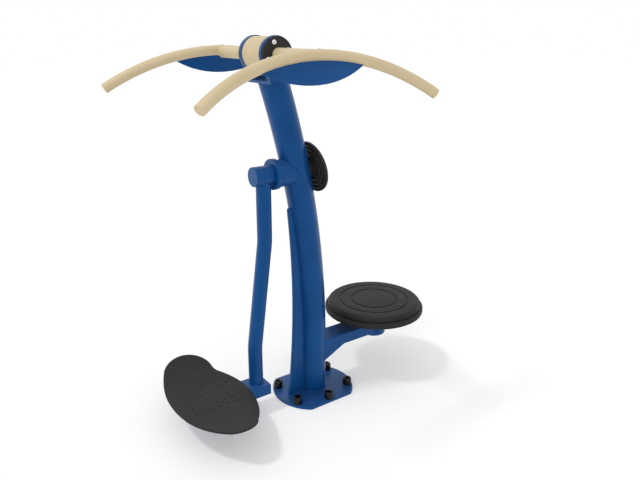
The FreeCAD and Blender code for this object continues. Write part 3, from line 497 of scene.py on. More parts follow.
def makeScrewTree(spec):
    sizes = (
        "Head Radius", "Head Height", "Rim Share", "Shoulder", "Crown",
        "Socket Radius", "Socket Depth", "Shank Radius", "Shank Length",
    )
    tree, given, result = newShapeTree("socketHeads", "Seats", sizes)
    height = given.outputs["Head Height"]
    rim = math2(tree, "MULTIPLY", height, given.outputs["Rim Share"])
    rise = math2(tree, "SUBTRACT", height, rim)
    shoulder, crown = given.outputs["Shoulder"], given.outputs["Crown"]
    head = addNode(tree, "GeometryNodeMeshCylinder", values={
        "Vertices": spec["sides"], "Radius": given.outputs["Head Radius"], "Depth": rim,
    })
    mesh, top = head.outputs["Mesh"], head.outputs["Top"]

    def step(lift, scale):  # raises the top face, then draws it in
        raised = addNode(tree, "GeometryNodeExtrudeMesh", {"mode": "FACES"}, {
            "Mesh": mesh, "Selection": top, "Offset Scale": lift, "Individual": False,
        })
        drawn = addNode(tree, "GeometryNodeScaleElements", {"domain": "FACE"}, {
            "Geometry": raised.outputs["Mesh"], "Selection": raised.outputs["Top"], "Scale": scale,
        })
        return drawn.outputs["Geometry"], raised.outputs["Top"]

    dome = math2(tree, "MULTIPLY", given.outputs["Head Radius"], math2(tree, "MULTIPLY", shoulder, crown))
    mouth = math2(tree, "DIVIDE", given.outputs["Socket Radius"], dome)
    for share, scale in zip(headSpec["domeShares"], (shoulder, crown, mouth)):
        mesh, top = step(math2(tree, "MULTIPLY", rise, share), scale)

    # draws the socket's ring in to a hexagon
    place = addNode(tree, "GeometryNodeInputPosition").outputs[0]
    split = addNode(tree, "ShaderNodeSeparateXYZ", values={0: place})
    turn = math2(tree, "ARCTAN2", split.outputs["Y"], split.outputs["X"])
    sector = math2(tree, "FLOORED_MODULO", turn, math.radians(60))
    slant = addNode(tree, "ShaderNodeMath", {"operation": "COSINE"}, {
        0: math2(tree, "SUBTRACT", sector, math.radians(30)),
    })
    inset = math2(tree, "DIVIDE", math.cos(math.radians(30)), slant.outputs[0])
    pull = addNode(tree, "ShaderNodeCombineXYZ", values={"X": inset, "Y": inset, "Z": 1.0})
    moved = addNode(tree, "ShaderNodeVectorMath", {"operation": "MULTIPLY"}, {0: place, 1: pull.outputs[0]})
    hexagon = addNode(tree, "GeometryNodeSetPosition", values={
        "Geometry": mesh, "Selection": top, "Position": moved.outputs[0],
    })
    mesh = hexagon.outputs["Geometry"]
    mesh, top = step(math2(tree, "MULTIPLY", given.outputs["Socket Depth"], -1.0), headSpec["socketTaper"])

    shank = addNode(tree, "GeometryNodeMeshCylinder", values={
        "Vertices": spec["sides"], "Radius": given.outputs["Shank Radius"], "Depth": given.outputs["Shank Length"],
    })

    def lifted(geometry, height):
        shift = addNode(tree, "ShaderNodeCombineXYZ", values={"Z": height})
        return addNode(tree, "GeometryNodeTransform", values={
            "Geometry": geometry, "Translation": shift.outputs[0],
        }).outputs["Geometry"]

    whole = addNode(tree, "GeometryNodeJoinGeometry")
    sunk = math2(tree, "MULTIPLY", given.outputs["Shank Length"], -0.5)
    feed(tree, whole, {0: lifted(mesh, math2(tree, "MULTIPLY", rim, 0.5))})
    feed(tree, whole, {0: lifted(shank.outputs["Mesh"], sunk)})
    crisp = sharpen(tree, whole.outputs["Geometry"], headSpec["sharpAngle"])

    kind = {"data_type": "FLOAT_VECTOR"}
    outward = addNode(tree, "GeometryNodeInputNamedAttribute", kind, {"Name": "facing"})
    facing = addNode(tree, "FunctionNodeAlignRotationToVector", {"axis": "Z"}, {
        "Vector": outward.outputs["Attribute"],
    })
    spread = addNode(tree, "GeometryNodeInstanceOnPoints", values={
        "Points": given.outputs["Seats"], "Instance": crisp, "Rotation": facing.outputs[0],
    })
    finishTree(tree, spread.outputs["Instances"], given, result)
    return tree


def makeScrews(name, spec, seats, shankLength, node, finish):
    mesh = bpy.data.meshes.new("seats")
    mesh.from_pydata([place for place, facing in seats], [], [])
    outward = mesh.attributes.new("facing", "FLOAT_VECTOR", "POINT")
    for entry, (place, facing) in zip(outward.data, seats):
        entry.vector = facing
    screws = buildPiece(name, mesh, makeScrewTree(spec), {
        "Head Radius": spec["headRadius"], "Head Height": spec["headHeight"], "Rim Share": spec["rimShare"],
        "Shoulder": spec["shoulder"], "Crown": spec["crown"],
        "Socket Radius": spec["socketRadius"], "Socket Depth": spec["socketDepth"],
        "Shank Radius": spec["shankRadius"], "Shank Length": shankLength, "Finish": finish,
    })
    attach(screws, "stand")
    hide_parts(node)
    print(name, len(seats), "pieces,", len(screws.data.polygons), "faces")


def makeCapScrews(spec):
    seats = []
    for low, high in looseBoxes("cap_screws"):
        side = 1 if high[1] > 0 else -1
        outer = max(high[1], -low[1]) - spec["headHeight"]
        seats.append((((low[0] + high[0]) / 2, side * outer, (low[2] + high[2]) / 2), (0, side, 0)))
    shankLength = high[1] - low[1] - spec["headHeight"]
    makeScrews("capScrews", spec, seats, shankLength, "cap_screws", finishes["bright_steel"])


def makeAnchorCaps(spec):
    seats = []
    for low, high in looseBoxes("anchor_caps"):
        seats.append((((low[0] + high[0]) / 2, (low[1] + high[1]) / 2, low[2]), (0, 0, 1)))
    gloss = makeMoulding("glossyCap", glossyCapSpec)
    makeScrews("anchorCaps", spec, seats, spec["shankLength"], "anchor_caps", gloss)


makeCapScrews(screwSpec)
makeAnchorCaps(anchorCapSpec)


# Weld beads: rippled fillets along the joints, on points found by rays onto the CAD nodes

weldSpec = {
    "beadRadius": 0.0026,
    "pointGap": 0.0011,
    "ripplePitch": 0.0042,
    "rippleDepth": 0.13,
    "unevenness": 0.35,
    "sides": 8,
    "sharpAngle": 60.0,
    "armCorner": 0.005,
    "armDepth": 0.053,
    "postTopLean": 18.33,
    "rayStart": 0.1,
    "armRayStart": 0.2,
    "noseShare": 0.98,
    "noseSteps": 20,
    "flankLength": 0.06,
    "flankSteps": 12,
    "cornerSteps": 4,
    "handleSteps": 180,
}


def makeWeldTree(spec):
    sizes = ("Bead Radius", "Point Gap", "Ripple Pitch", "Ripple Depth", "Unevenness")
    tree, given, result = newShapeTree("weldBead", "Seams", sizes)
    seam = addNode(tree, "GeometryNodeMeshToCurve", values={"Mesh": given.outputs["Seams"]})
    even = addNode(tree, "GeometryNodeResampleCurve", {"mode": "LENGTH"}, {
        "Curve": seam.outputs["Curve"], "Length": given.outputs["Point Gap"],
    })
    along = addNode(tree, "GeometryNodeSplineParameter").outputs["Length"]
    phase = math2(tree, "DIVIDE", math2(tree, "MULTIPLY", along, 2 * math.pi), given.outputs["Ripple Pitch"])
    wave = addNode(tree, "ShaderNodeMath", {"operation": "SINE"}, {0: phase})
    ripple = math2(tree, "MULTIPLY", wave.outputs[0], given.outputs["Ripple Depth"])
    strayed = math2(tree, "SUBTRACT", noise(tree, {"Scale": 70.0, "Detail": 2.0}), 0.5)
    wander = math2(tree, "MULTIPLY", strayed, given.outputs["Unevenness"])
    size = math2(tree, "ADD", math2(tree, "ADD", ripple, wander), 1.0)
    section = addNode(tree, "GeometryNodeCurvePrimitiveCircle", values={
        "Resolution": spec["sides"], "Radius": given.outputs["Bead Radius"],
    })
    bead = addNode(tree, "GeometryNodeCurveToMesh", values={
        "Curve": even.outputs["Curve"], "Profile Curve": section.outputs["Curve"], "Scale": size, "Fill Caps": True,
    })
    finishTree(tree, sharpen(tree, bead.outputs["Mesh"], spec["sharpAngle"]), given, result)
    return tree


weldTree = makeWeldTree(weldSpec)
surfaces = {}


def landing(name, start, direction):
    if name not in surfaces:
        mesh = nodes[name].data
        corners = [vertex.co.copy() for vertex in mesh.vertices]
        surfaces[name] = BVHTree.FromPolygons(corners, [tuple(face.vertices) for face in mesh.polygons])
    return surfaces[name].ray_cast(Vector(start), Vector(direction))[0]


def ring(centre, radius, first, second, count=96):
    points = []
    for step in range(count + 1):
        angle = 2 * math.pi * step / count
        points.append(centre + (first * math.cos(angle) + second * math.sin(angle)) * radius)
    return points


def runs(name, starts, direction):  # lines of hits, broken where a ray misses
    lines = [[]]
    for start in starts:
        hit = landing(name, start, direction)
        if hit is None:
            lines.append([])
        else:
            lines[-1].append(hit)
    return [line for line in lines if len(line) > 2]


def boxMiddle(name):
    low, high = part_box(name)
    return (Vector(low) + Vector(high)) / 2


def halfWidth(name, axis):
    low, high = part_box(name)
    return (high[axis] - low[axis]) / 2


xAxis, yAxis, zAxis = Vector((1, 0, 0)), Vector((0, 1, 0)), Vector((0, 0, 1))


def armSection(spec, top, bottom, closed):
    side = halfWidth("twister_arm", 1)
    corner, steps = spec["armCorner"], spec["cornerSteps"]
    points = []

    def bend(y, z, start):
        for step in range(steps + 1):
            angle = math.radians(start + 90 / steps * step)
            points.append(Vector((0, y + corner * math.cos(angle), z + corner * math.sin(angle))))

    def line(first, last, count=24):
        for step in range(count + 1):
            points.append(first.lerp(last, step / count))

    line(Vector((0, side, bottom + corner)), Vector((0, side, top - corner)))
    bend(side - corner, top - corner, 0)
    line(Vector((0, side - corner, top)), Vector((0, corner - side, top)))
    bend(corner - side, top - corner, 90)
    line(Vector((0, -side, top - corner)), Vector((0, -side, bottom + corner)))
    if closed:
        bend(corner - side, bottom + corner, 180)
        line(Vector((0, corner - side, bottom)), Vector((0, side - corner, bottom)))
        bend(side - corner, bottom + corner, 270)
    return points


def standSeams(spec):
    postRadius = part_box("main_post")[1][1]
    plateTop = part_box("base_plate")[1][2]
    seams = [ring(zAxis * plateTop, postRadius, xAxis, yAxis)]

    # round the spine's foot
    spineLow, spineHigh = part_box("post_spine")
    level = plateTop + spec["beadRadius"] / 2
    away, steps = spec["rayStart"], spec["noseSteps"]
    across = [spineHigh[1] * (1 - step / steps) * spec["noseShare"] for step in range(2 * steps + 1)]
    nose = [Vector((spineLow[0] - away, y, level)) for y in across]
    steps = spec["flankSteps"]
    back = [-postRadius - spec["flankLength"] * step / steps for step in range(steps + 1)]
    flank = [Vector((x, away, level)) for x in back]
    left = runs("post_spine", flank, -yAxis)[0]
    front = runs("post_spine", nose, xAxis)[0]
    seams.append(left + front + [Vector((point.x, -point.y, point.z)) for point in reversed(left)])

    # the arm's two ends
    armLow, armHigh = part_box("twister_arm")
    hubBottom = armHigh[2] - spec["armDepth"]
    start = xAxis * spec["armRayStart"]
    postEnd = [point + start for point in armSection(spec, armHigh[2], armLow[2], False)]
    hubEnd = [point + start for point in armSection(spec, armHigh[2], hubBottom, True)]
    seams += runs("main_post", postEnd, -xAxis) + runs("twister_hub", hubEnd, xAxis)

    # the pivot housing's saddle on the post
    housing = boxMiddle("pivot_housing")
    start = Vector((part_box("pivot_housing")[0][0] - away, 0, housing.z))
    seams += runs("main_post", ring(start, halfWidth("pivot_housing", 1), yAxis, zAxis), xAxis)

    # the post's top end under the yoke
    lean = math.radians(spec["postTopLean"])
    across = Vector((math.cos(lean), 0, math.sin(lean)))
    postLow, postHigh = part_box("main_post")
    top = Vector((postLow[0] + postRadius * across.x, 0, postHigh[2] - postRadius * across.z))
    seams.append(ring(top, postRadius, across, yAxis))
    return seams


def pendulumSeams(spec):
    tubeLow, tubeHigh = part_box("pendulum_tube")
    tubeRadius = halfWidth("pendulum_tube", 1)
    upper = Vector((tubeHigh[0] - tubeRadius, 0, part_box("pendulum_hub")[0][2] - spec["rayStart"]))
    foot = Vector((tubeLow[0] + tubeRadius, 0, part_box("foot_beam")[1][2]))
    saddle = runs("pendulum_hub", ring(upper, tubeRadius, xAxis, yAxis), zAxis)
    return saddle + [ring(foot, tubeRadius, xAxis, yAxis)]


def handleSeams(spec):
    middle = boxMiddle("cross_tube")
    circle = ring(middle, halfWidth("cross_tube", 2), xAxis, zAxis, spec["handleSteps"])
    return runs("handlebar_left", circle, yAxis) + runs("handlebar_right", circle, -yAxis)


def makeWelds(name, body, slot, seams, spec):
    corners, edges = [], []
    for seam in seams:
        first = len(corners)
        corners += seam
        edges += [(first + step, first + step + 1) for step in range(len(seam) - 1)]
    mesh = bpy.data.meshes.new("seams")
    mesh.from_pydata(corners, edges, [])
    welds = buildPiece(name, mesh, weldTree, {
        "Bead Radius": spec["beadRadius"], "Point Gap": spec["pointGap"], "Ripple Pitch": spec["ripplePitch"],
        "Ripple Depth": spec["rippleDepth"], "Unevenness": spec["unevenness"], "Finish": finishes[slot],
    })
    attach(welds, body)
    print(name, len(seams), "seams,", len(welds.data.polygons), "faces")


makeWelds("standWelds", "stand", "blue_paint", standSeams(weldSpec), weldSpec)
makeWelds("pendulumWelds", "pendulum", "blue_paint", pendulumSeams(weldSpec), weldSpec)
makeWelds("handleWelds", "stand", "tan_paint", handleSeams(weldSpec), weldSpec)


# Pieces made as plain meshes

def meshPiece(name, work, body, slot, sharpAngle):
    bmesh.ops.recalc_face_normals(work, faces=work.faces)
    mesh = bpy.data.meshes.new(name)
    work.to_mesh(mesh)
    work.free()
    mesh.shade_smooth()
    mesh.set_sharp_from_angle(angle=math.radians(sharpAngle))
    mesh.materials.append(finishes[slot])
    piece = bpy.data.objects.new(name, mesh)
    bpy.context.scene.collection.objects.link(piece)
    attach(piece, body)
    print(name, len(mesh.polygons), "faces")
    return piece


def softCorners(corners, cuts=5):  # corners are (radius, height, reach of the rounding)
    profile = []
    for index, (radius, height, reach) in enumerate(corners):
        corner = Vector((radius, height))
        if reach == 0:
            profile.append(corner)
            continue
        before, after = (Vector(corners[index + step][:2]) for step in (-1, 1))
        first = corner + (before - corner).normalized() * reach
        last = corner + (after - corner).normalized() * reach
        for cut in range(cuts + 1):
            share = cut / cuts
            profile.append(first.lerp(corner, share).lerp(corner.lerp(last, share), share))
    return profile


def bridgeLoops(work, loops):  # a loop of one vertex is a pole
    steps = max(len(loop) for loop in loops)
    for first, second in zip(loops, loops[1:]):
        for step in range(steps):
            after = (step + 1) % steps
            if len(first) == 1:
                work.faces.new((first[0], second[step], second[after]))
            elif len(second) == 1:
                work.faces.new((first[step], first[after], second[0]))
            else:
                work.faces.new((first[step], first[after], second[after], second[step]))


def turnProfile(work, profile, place, steps):
    loops = []
    for radius, height in profile:
        if radius == 0:
            loops.append([work.verts.new(place @ Vector((0, 0, height)))])
            continue
        turns = (2 * math.pi * step / steps for step in range(steps))
        spots = (Vector((radius * math.cos(turn), radius * math.sin(turn), height)) for turn in turns)
        loops.append([work.verts.new(place @ spot) for spot in spots])
    bridgeLoops(work, loops)


# Handle webs: lens-shaped plates in the crowns of the arches, each set off its arch's middle as in the photo

webSpec = {
    "archRadius": 0.760,
    "archSlope": 61.8,
    "archReach": 0.343,
    "archRise": 0.0055,
    "archShift": -0.004,
    "barRadius": 0.0195,
    "tuck": 0.005,
    "halfLength": 0.2,
    "depth": 0.1,
    "leftCentre": 0.012,
    "rightCentre": -0.032,
    "thickness": 0.006,
    "edgeRound": 0.0012,
    "edgeSegments": 2,
    "sharpAngle": 35.0,
    "steps": 72,
}


def makeHandleWebs(spec):
    slope = math.radians(spec["archSlope"])
    seatRadius = spec["archRadius"] - spec["barRadius"]
    half = spec["halfLength"]

    def archDrop(along, radius):
        return spec["archRadius"] - math.sqrt(radius ** 2 - along ** 2)

    work = bmesh.new()
    for side, centre in ((1, spec["leftCentre"]), (-1, spec["rightCentre"])):
        shift = Vector((spec["archShift"], side * spec["archReach"], spec["archRise"]))
        crown = boxMiddle("cross_tube") + shift
        down = Vector((0, side * math.cos(slope), -math.sin(slope)))
        through = xAxis.cross(down) * spec["thickness"]
        firstDrop, lastDrop = (archDrop(centre + end, seatRadius) for end in (-half, half))
        sag = spec["depth"] - (firstDrop + lastDrop) / 2
        bellyRadius = (half ** 2 + sag ** 2) / (2 * sag)
        rows = []
        for step in range(spec["steps"] + 1):
            share = step / spec["steps"]
            offset = half * (2 * share - 1)
            chord = firstDrop + (lastDrop - firstDrop) * share
            belly = chord + math.sqrt(bellyRadius ** 2 - offset ** 2) - bellyRadius + sag
            seat = archDrop(centre + offset, seatRadius + spec["tuck"])
            spots = [crown + xAxis * (centre + offset) + down * drop - through / 2 for drop in (seat, belly)]
            rows.append([work.verts.new(spot) for spot in spots])
        faces = []
        for (seatA, bellyA), (seatB, bellyB) in zip(rows, rows[1:]):
            faces.append(work.faces.new((seatA, bellyA, bellyB, seatB)))
        grown = bmesh.ops.extrude_face_region(work, geom=faces)["geom"]
        corners = [item for item in grown if isinstance(item, bmesh.types.BMVert)]
        bmesh.ops.translate(work, vec=through, verts=corners)
    webs = meshPiece("handleWebs", work, "stand", "blue_paint", spec["sharpAngle"])
    edges = webs.modifiers.new("edges", "BEVEL")
    edges.width = spec["edgeRound"]
    edges.segments = spec["edgeSegments"]
    edges.limit_method = "ANGLE"
    edges.harden_normals = True
    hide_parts("handle_web_left", "handle_web_right")


makeHandleWebs(webSpec)


# Stand disc: a full round shoulder over a dark seam, a bulged rim under it, and two ring grooves in the top

discSpec = {
    "top": 0.354,
    "edgeRadius": 0.2172,
    "edgeReach": 0.0205,
    "seamRadius": 0.2164,
    "seamHeight": 0.3312,
    "seamWidth": 0.0028,
    "seamDepth": 0.0045,
    "seamLip": 0.0005,
    "rimRadius": 0.2293,
    "rimTop": 0.3275,
    "rimBottom": 0.3025,
    "rimReach": 0.0075,
    "rimUnderShare": 0.7,
    "grooveRadii": (0.1056, 0.1585),
    "grooveWidth": 0.0065,
    "grooveDepth": 0.0035,
    "grooveLip": 0.0008,
    "skinUnderside": 0.3455,
    "innerTopRadius": 0.191,
    "innerRimRadius": 0.213,
    "innerRimHeight": 0.3195,
    "innerLip": 0.001,
    "ribCount": 8,
    "ribStart": 0.126,
    "ribDrop": 0.014,
    "ribThickness": 0.006,
    "ribSink": 0.001,
    "sharpAngle": 40.0,
    "steps": 180,
}


def makeStandDisc(spec):
    lip, depth = spec["grooveLip"], spec["grooveDepth"]
    top, under = spec["top"], spec["skinUnderside"]
    corners = [(0, top, 0)]
    for middle in spec["grooveRadii"]:
        near, far = middle - spec["grooveWidth"] / 2, middle + spec["grooveWidth"] / 2
        corners += [(near, top, lip), (near, top - depth, lip), (far, top - depth, lip), (far, top, lip)]
    seam, seamLow = spec["seamHeight"], spec["seamHeight"] - spec["seamWidth"]
    seamFloor = spec["seamRadius"] - spec["seamDepth"]
    corners += [
        (spec["edgeRadius"], top, spec["edgeReach"]),
        (spec["seamRadius"], seam, spec["seamLip"]),
        (seamFloor, seam, 0),
        (seamFloor, seamLow, 0),
        (spec["rimRadius"], spec["rimTop"], spec["rimReach"]),
        (spec["rimRadius"], spec["rimBottom"], spec["rimReach"] * spec["rimUnderShare"]),
        (spec["innerRimRadius"], spec["rimBottom"], spec["innerLip"]),
        (spec["innerRimRadius"], spec["innerRimHeight"], 0),
        (spec["innerTopRadius"], under, 0),
        (0, under, 0),
    ]
    middle = boxMiddle("twister_disc")
    work = bmesh.new()
    axis = Matrix.Translation((middle.x, middle.y, 0))
    turnProfile(work, softCorners(corners), axis, spec["steps"])

    # ribs under the skin, out to the sloping inner wall
    slope = (spec["innerRimRadius"] - spec["innerTopRadius"]) / (under - spec["innerRimHeight"])
    sink, half = spec["ribSink"], spec["ribThickness"] / 2
    low = under - spec["ribDrop"]
    outline = [
        (spec["ribStart"], under + sink), (spec["innerTopRadius"], under + sink),
        (spec["innerTopRadius"] + slope * spec["ribDrop"] + sink, low), (spec["ribStart"], low),
    ]
    for rib in range(spec["ribCount"]):
        turn = axis @ Matrix.Rotation(2 * math.pi * rib / spec["ribCount"], 4, "Z")
        sides = [[work.verts.new(turn @ Vector((out, y, z))) for out, z in outline] for y in (-half, half)]
        for side in sides:
            work.faces.new(side)
        for corner in range(len(outline)):
            after = (corner + 1) % len(outline)
            work.faces.new((sides[0][corner], sides[0][after], sides[1][after], sides[1][corner]))
    disc = meshPiece("standDisc", work, "twister", "grey_moulding", spec["sharpAngle"])
    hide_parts("twister_disc")


makeStandDisc(discSpec)


# Round pad: a crowned face, and ring ridges with deep grooves between them in its back

padSpec = {
    "radius": 0.105,
    "depth": 0.011,
    "crown": 0.002,
    "crownRings": 6,
    "edgeReach": 0.004,
    "floor": 0.009,
    "hubRadius": 0.042,
    "ridgeRadii": (0.0565, 0.075, 0.0925),
    "ridgeWidth": 0.0078,
    "rimWidth": 0.0035,
    "lip": 0.0016,
    "spigotRadius": 0.0339,
    "spigotLength": 0.014,
    "spigotLip": 0.001,
    "height": 1.011,
    "standoff": 0.015,
    "postRadius": 0.05715,
    "bendStart": 0.241,
    "bendRadius": 3.63,
    "sharpAngle": 40.0,
    "steps": 128,
}


def makeRoundPad(spec):
    radius, depth, floor, lip = spec["radius"], spec["depth"], spec["floor"], spec["lip"]
    corners = [
        (0, -spec["spigotLength"], 0), (spec["spigotRadius"], -spec["spigotLength"], spec["spigotLip"]),
        (spec["spigotRadius"], 0, 0), (spec["hubRadius"], 0, lip), (spec["hubRadius"], floor, 0),
    ]
    for middle in spec["ridgeRadii"]:
        near, far = middle - spec["ridgeWidth"] / 2, middle + spec["ridgeWidth"] / 2
        corners += [(near, floor, 0), (near, 0, lip), (far, 0, lip), (far, floor, 0)]
    rim = radius - spec["rimWidth"]
    corners += [(rim, floor, 0), (rim, 0, lip), (radius, 0, lip), (radius, depth, spec["edgeReach"])]
    crownRadius = (radius ** 2 + spec["crown"] ** 2) / (2 * spec["crown"])
    for row in range(spec["crownRings"], -1, -1):
        out = (radius - 2 * spec["edgeReach"]) * row / spec["crownRings"]
        corners.append((out, depth + spec["crown"] - crownRadius + math.sqrt(crownRadius ** 2 - out ** 2), 0))
    # square to the post, which leans along its bend
    lean = math.asin((spec["height"] - spec["bendStart"]) / spec["bendRadius"])
    axis = Vector((math.cos(lean), 0, math.sin(lean)))
    foot = Vector((spec["bendRadius"] * (math.cos(lean) - 1), 0, spec["height"]))
    seat = Matrix.Translation(foot + axis * (spec["postRadius"] + spec["standoff"]))
    place = seat @ axis.to_track_quat("Z", "Y").to_matrix().to_4x4()
    work = bmesh.new()
    turnProfile(work, softCorners(corners), place, spec["steps"])
    pad = meshPiece("roundPad", work, "stand", slotOfNode["round_pad"], spec["sharpAngle"])
    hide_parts("round_pad")


makeRoundPad(padSpec)


# Foot board: a bulged front, a larger far lobe and a slimmer near one as in the photo, ends that curl up
# in one sweep, and dimples for grip

boardSpec = {
    "middle": -0.5064,
    "halfDepth": 0.1585,
    "farSide": {"bulge": 0.27, "reach": 0.308, "radius": 0.105, "offset": -0.003, "waist": 0.075},
    "nearSide": {"bulge": 0.443, "reach": 0.319, "radius": 0.0765, "offset": -0.006, "waist": 0.15},
    "farCurl": {"lift": 0.046, "skew": -12.0},
    "nearCurl": {"lift": 0.0345, "skew": -6.3},
    "thickness": 0.0102,
    "clearance": 0.0003,
    "edgeRound": 0.0042,
    "flat": 0.066,
    "curl": 2.02,
    "dimpleRadius": 0.0095,
    "dimpleDepth": 0.0025,
    "dimplePitch": 0.034,
    "dimpleInset": 0.022,
    "dimpleRows": 7,
    "dimpleColumns": 3,
    "outlinePoints": 360,
    "rings": 96,
    "bottomRings": 24,
    "edgeSteps": 5,
    "sharpAngle": 50.0,
}


def arcPoints(centre, radius, first, last, count=60):
    points = []
    for step in range(count + 1):
        angle = first + (last - first) * step / count
        points.append(centre + Vector((math.cos(angle), math.sin(angle))) * radius)
    return points


def turnOf(vector):
    return math.atan2(vector.y, vector.x)


# one half of the plan, from the front's middle round the lobe to the back's middle
def boardSide(spec, lobe):
    depth = spec["halfDepth"]
    lobeCentre = Vector((lobe["offset"], lobe["reach"] - lobe["radius"]))
    bulge = Vector((depth - lobe["bulge"], 0))
    span = lobeCentre - bulge
    outer, inner = lobe["bulge"] + lobe["waist"], lobe["radius"] + lobe["waist"]
    along = (span.length_squared + outer ** 2 - inner ** 2) / (2 * span.length)
    line = span.normalized()
    waist = bulge + line * along + Vector((line.y, -line.x)) * math.sqrt(outer ** 2 - along ** 2)
    offset = depth + lobe["offset"]
    backRadius = (offset ** 2 + lobeCentre.y ** 2 - lobe["radius"] ** 2) / (2 * (offset - lobe["radius"]))
    back = Vector((backRadius - depth, 0))
    ends = turnOf(lobeCentre - back)
    points = arcPoints(bulge, lobe["bulge"], 0, turnOf(waist - bulge))
    turns = [turnOf(spot - waist) % (2 * math.pi) for spot in (bulge, lobeCentre)]
    points += arcPoints(waist, lobe["waist"], *turns)[1:]
    points += arcPoints(lobeCentre, lobe["radius"], turnOf(waist - lobeCentre), ends)[1:]
    return points + arcPoints(back, backRadius, ends, math.pi)[1:]


def evenLoop(points, count):
    closed = points + points[:1]
    lengths = [(second - first).length for first, second in zip(closed, closed[1:])]
    gap = sum(lengths) / count
    loop, index, passed = [], 0, 0.0
    for step in range(count):
        while passed + lengths[index] < step * gap:
            passed += lengths[index]
            index += 1
        share = (step * gap - passed) / lengths[index]
        loop.append(closed[index].lerp(closed[index + 1], share))
    return loop


def boardRise(spec, spot):
    end = "far" if spot.y > 0 else "near"
    bend, reach = spec[end + "Curl"], spec[end + "Side"]["reach"]
    skew = math.radians(bend["skew"])
    along = abs(spot.y) * math.cos(skew) - spot.x * math.sin(skew)
    share = max(0.0, (along - spec["flat"]) / (reach - spec["flat"]))
    return bend["lift"] * share ** spec["curl"]


def dimpleDrop(spec, spot):
    pitch, lastRow, lastColumn = spec["dimplePitch"], (spec["dimpleRows"] - 1) // 2, spec["dimpleColumns"] - 1
    row = max(-lastRow, min(lastRow, round(spot.x / pitch)))
    column = max(0, min(lastColumn, round((abs(spot.y) - spec["dimpleInset"]) / pitch)))
    away = math.hypot(spot.x - row * pitch, abs(spot.y) - spec["dimpleInset"] - column * pitch)
    return spec["dimpleDepth"] * max(0.0, 1 - (away / spec["dimpleRadius"]) ** 2)


def makeFootBoard(spec):
    middle = spec["middle"]
    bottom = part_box("foot_board")[0][2] + spec["clearance"]
    far, near = boardSide(spec, spec["farSide"]), boardSide(spec, spec["nearSide"])
    plan = far + [Vector((spot.x, -spot.y)) for spot in reversed(near)][1:-1]
    rim = evenLoop(plan, spec["outlinePoints"])
    work = bmesh.new()

    def level(inset, height, dimpled=False, share=1.0):
        loop = []
        for spot in rim:
            place = spot * (1 - inset / spot.length) * share
            drop = dimpleDrop(spec, place) if dimpled else 0.0
            lift = bottom + height + boardRise(spec, place) - drop
            loop.append(work.verts.new((middle + place.x, place.y, lift)))
        return loop

    thick, corner = spec["thickness"], spec["edgeRound"]
    loops = [[work.verts.new((middle, 0, bottom + thick))]]
    rows, bottomRows, steps = spec["rings"], spec["bottomRings"], spec["edgeSteps"]
    loops += [level(corner, thick, True, row / rows) for row in range(1, rows)]
    bends = [math.radians(90 * step / steps) for step in range(steps + 1)]
    loops += [level(corner * (1 - math.sin(bend)), thick - corner * (1 - math.cos(bend))) for bend in bends]
    loops += [level(corner * (1 - math.sin(bend)), corner * (1 - math.cos(bend))) for bend in reversed(bends)]
    loops += [level(corner, 0, False, row / bottomRows) for row in range(bottomRows - 1, 0, -1)]
    loops.append([work.verts.new((middle, 0, bottom))])
    bridgeLoops(work, loops)
    board = meshPiece("footBoard", work, "pendulum", "grey_moulding", spec["sharpAngle"])
    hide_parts("foot_board")


makeFootBoard(boardSpec)


# Stage, light and camera

stageSpec = {
    "floorSize": 60.0,
    "floorTone": 0.74,
    "floorGlow": 0.25,
    "bounceTone": 0.9,
    "ambient": 0.8,
}

keySunSpec = {"strength": 0.85, "spread": 7.0, "travel": (0.536, -0.127, -1.0)}
fillSunSpec = {"strength": 0.3, "spread": 80.0, "travel": (0.55, 0.76, -0.35)}


def seenRays(tree):
    rays = tree.nodes.new("ShaderNodeLightPath")
    seen = math2(tree, "MAXIMUM", rays.outputs["Is Camera Ray"], rays.outputs["Is Glossy Ray"])
    return math2(tree, "MAXIMUM", seen, rays.outputs["Is Transmission Ray"])


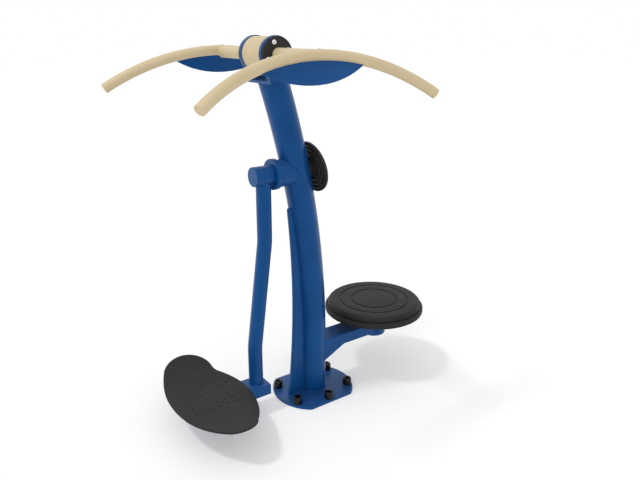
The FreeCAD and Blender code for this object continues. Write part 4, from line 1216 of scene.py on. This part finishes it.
def makeFloor(spec):
    half = spec["floorSize"] / 2
    mesh = bpy.data.meshes.new("floor")
    corners = [(-half, -half, 0), (half, -half, 0), (half, half, 0), (-half, half, 0)]
    mesh.from_pydata(corners, [], [(0, 1, 2, 3)])
    floor = bpy.data.objects.new("floor", mesh)
    bpy.context.scene.collection.objects.link(floor)
    material = bpy.data.materials.new("floorWhite")
    material.use_nodes = True
    tree = material.node_tree
    tree.nodes.clear()
    seen = seenRays(tree)
    tone = stretch(tree, seen, 0.0, 1.0, spec["bounceTone"], spec["floorTone"])
    matte = addNode(tree, "ShaderNodeBsdfDiffuse", values={"Color": tone})
    strength = math2(tree, "MULTIPLY", seen, spec["floorGlow"])
    glow = addNode(tree, "ShaderNodeEmission", values={"Strength": strength})
    both = addNode(tree, "ShaderNodeAddShader", values={0: matte.outputs[0], 1: glow.outputs[0]})
    addNode(tree, "ShaderNodeOutputMaterial", values={"Surface": both.outputs[0]})
    mesh.materials.append(material)


def makeWorld(spec):
    world = bpy.data.worlds.new("studio")
    bpy.context.scene.world = world
    world.use_nodes = True
    tree = world.node_tree
    strength = stretch(tree, seenRays(tree), 0.0, 1.0, spec["ambient"], 1.0)
    feed(tree, tree.nodes["Background"], {"Color": (1.0, 1.0, 1.0, 1.0), "Strength": strength})


def makeSun(name, spec):
    lamp = bpy.data.lights.new(name, "SUN")
    lamp.energy = spec["strength"]
    lamp.angle = math.radians(spec["spread"])
    sun = bpy.data.objects.new(name, lamp)
    sun.rotation_mode = "QUATERNION"
    sun.rotation_quaternion = Vector(spec["travel"]).to_track_quat("-Z", "Y")
    bpy.context.scene.collection.objects.link(sun)


cameraSpec = {
    "place": (-1.4180, -2.0139, 1.5439),
    "heading": 54.15,
    "dip": 18.668,
    "roll": -0.2586,
    "focalPixels": 616.0,
    "imageWidth": 640.0,
}


def makeCamera(spec):
    heading, dip, roll = (math.radians(spec[key]) for key in ("heading", "dip", "roll"))
    forward = Vector((math.cos(dip) * math.cos(heading), math.cos(dip) * math.sin(heading), -math.sin(dip)))
    right = Vector((math.sin(heading), -math.cos(heading), 0))
    down = forward.cross(right)
    tiltedRight = right * math.cos(roll) + down * math.sin(roll)
    tiltedUp = right * math.sin(roll) - down * math.cos(roll)
    data = bpy.data.cameras.new("photoCamera")
    data.sensor_width = 36.0
    data.lens = data.sensor_width * spec["focalPixels"] / spec["imageWidth"]
    camera = bpy.data.objects.new("photoCamera", data)
    turn = Matrix((tiltedRight, tiltedUp, -forward)).transposed().to_4x4()
    camera.matrix_world = Matrix.Translation(spec["place"]) @ turn
    bpy.context.scene.collection.objects.link(camera)
    bpy.context.scene.camera = camera


makeFloor(stageSpec)
makeWorld(stageSpec)
makeSun("keySun", keySunSpec)
makeSun("fillSun", fillSunSpec)
makeCamera(cameraSpec)
bpy.context.scene.view_settings.view_transform = "Standard"
print("stage, light and camera set")
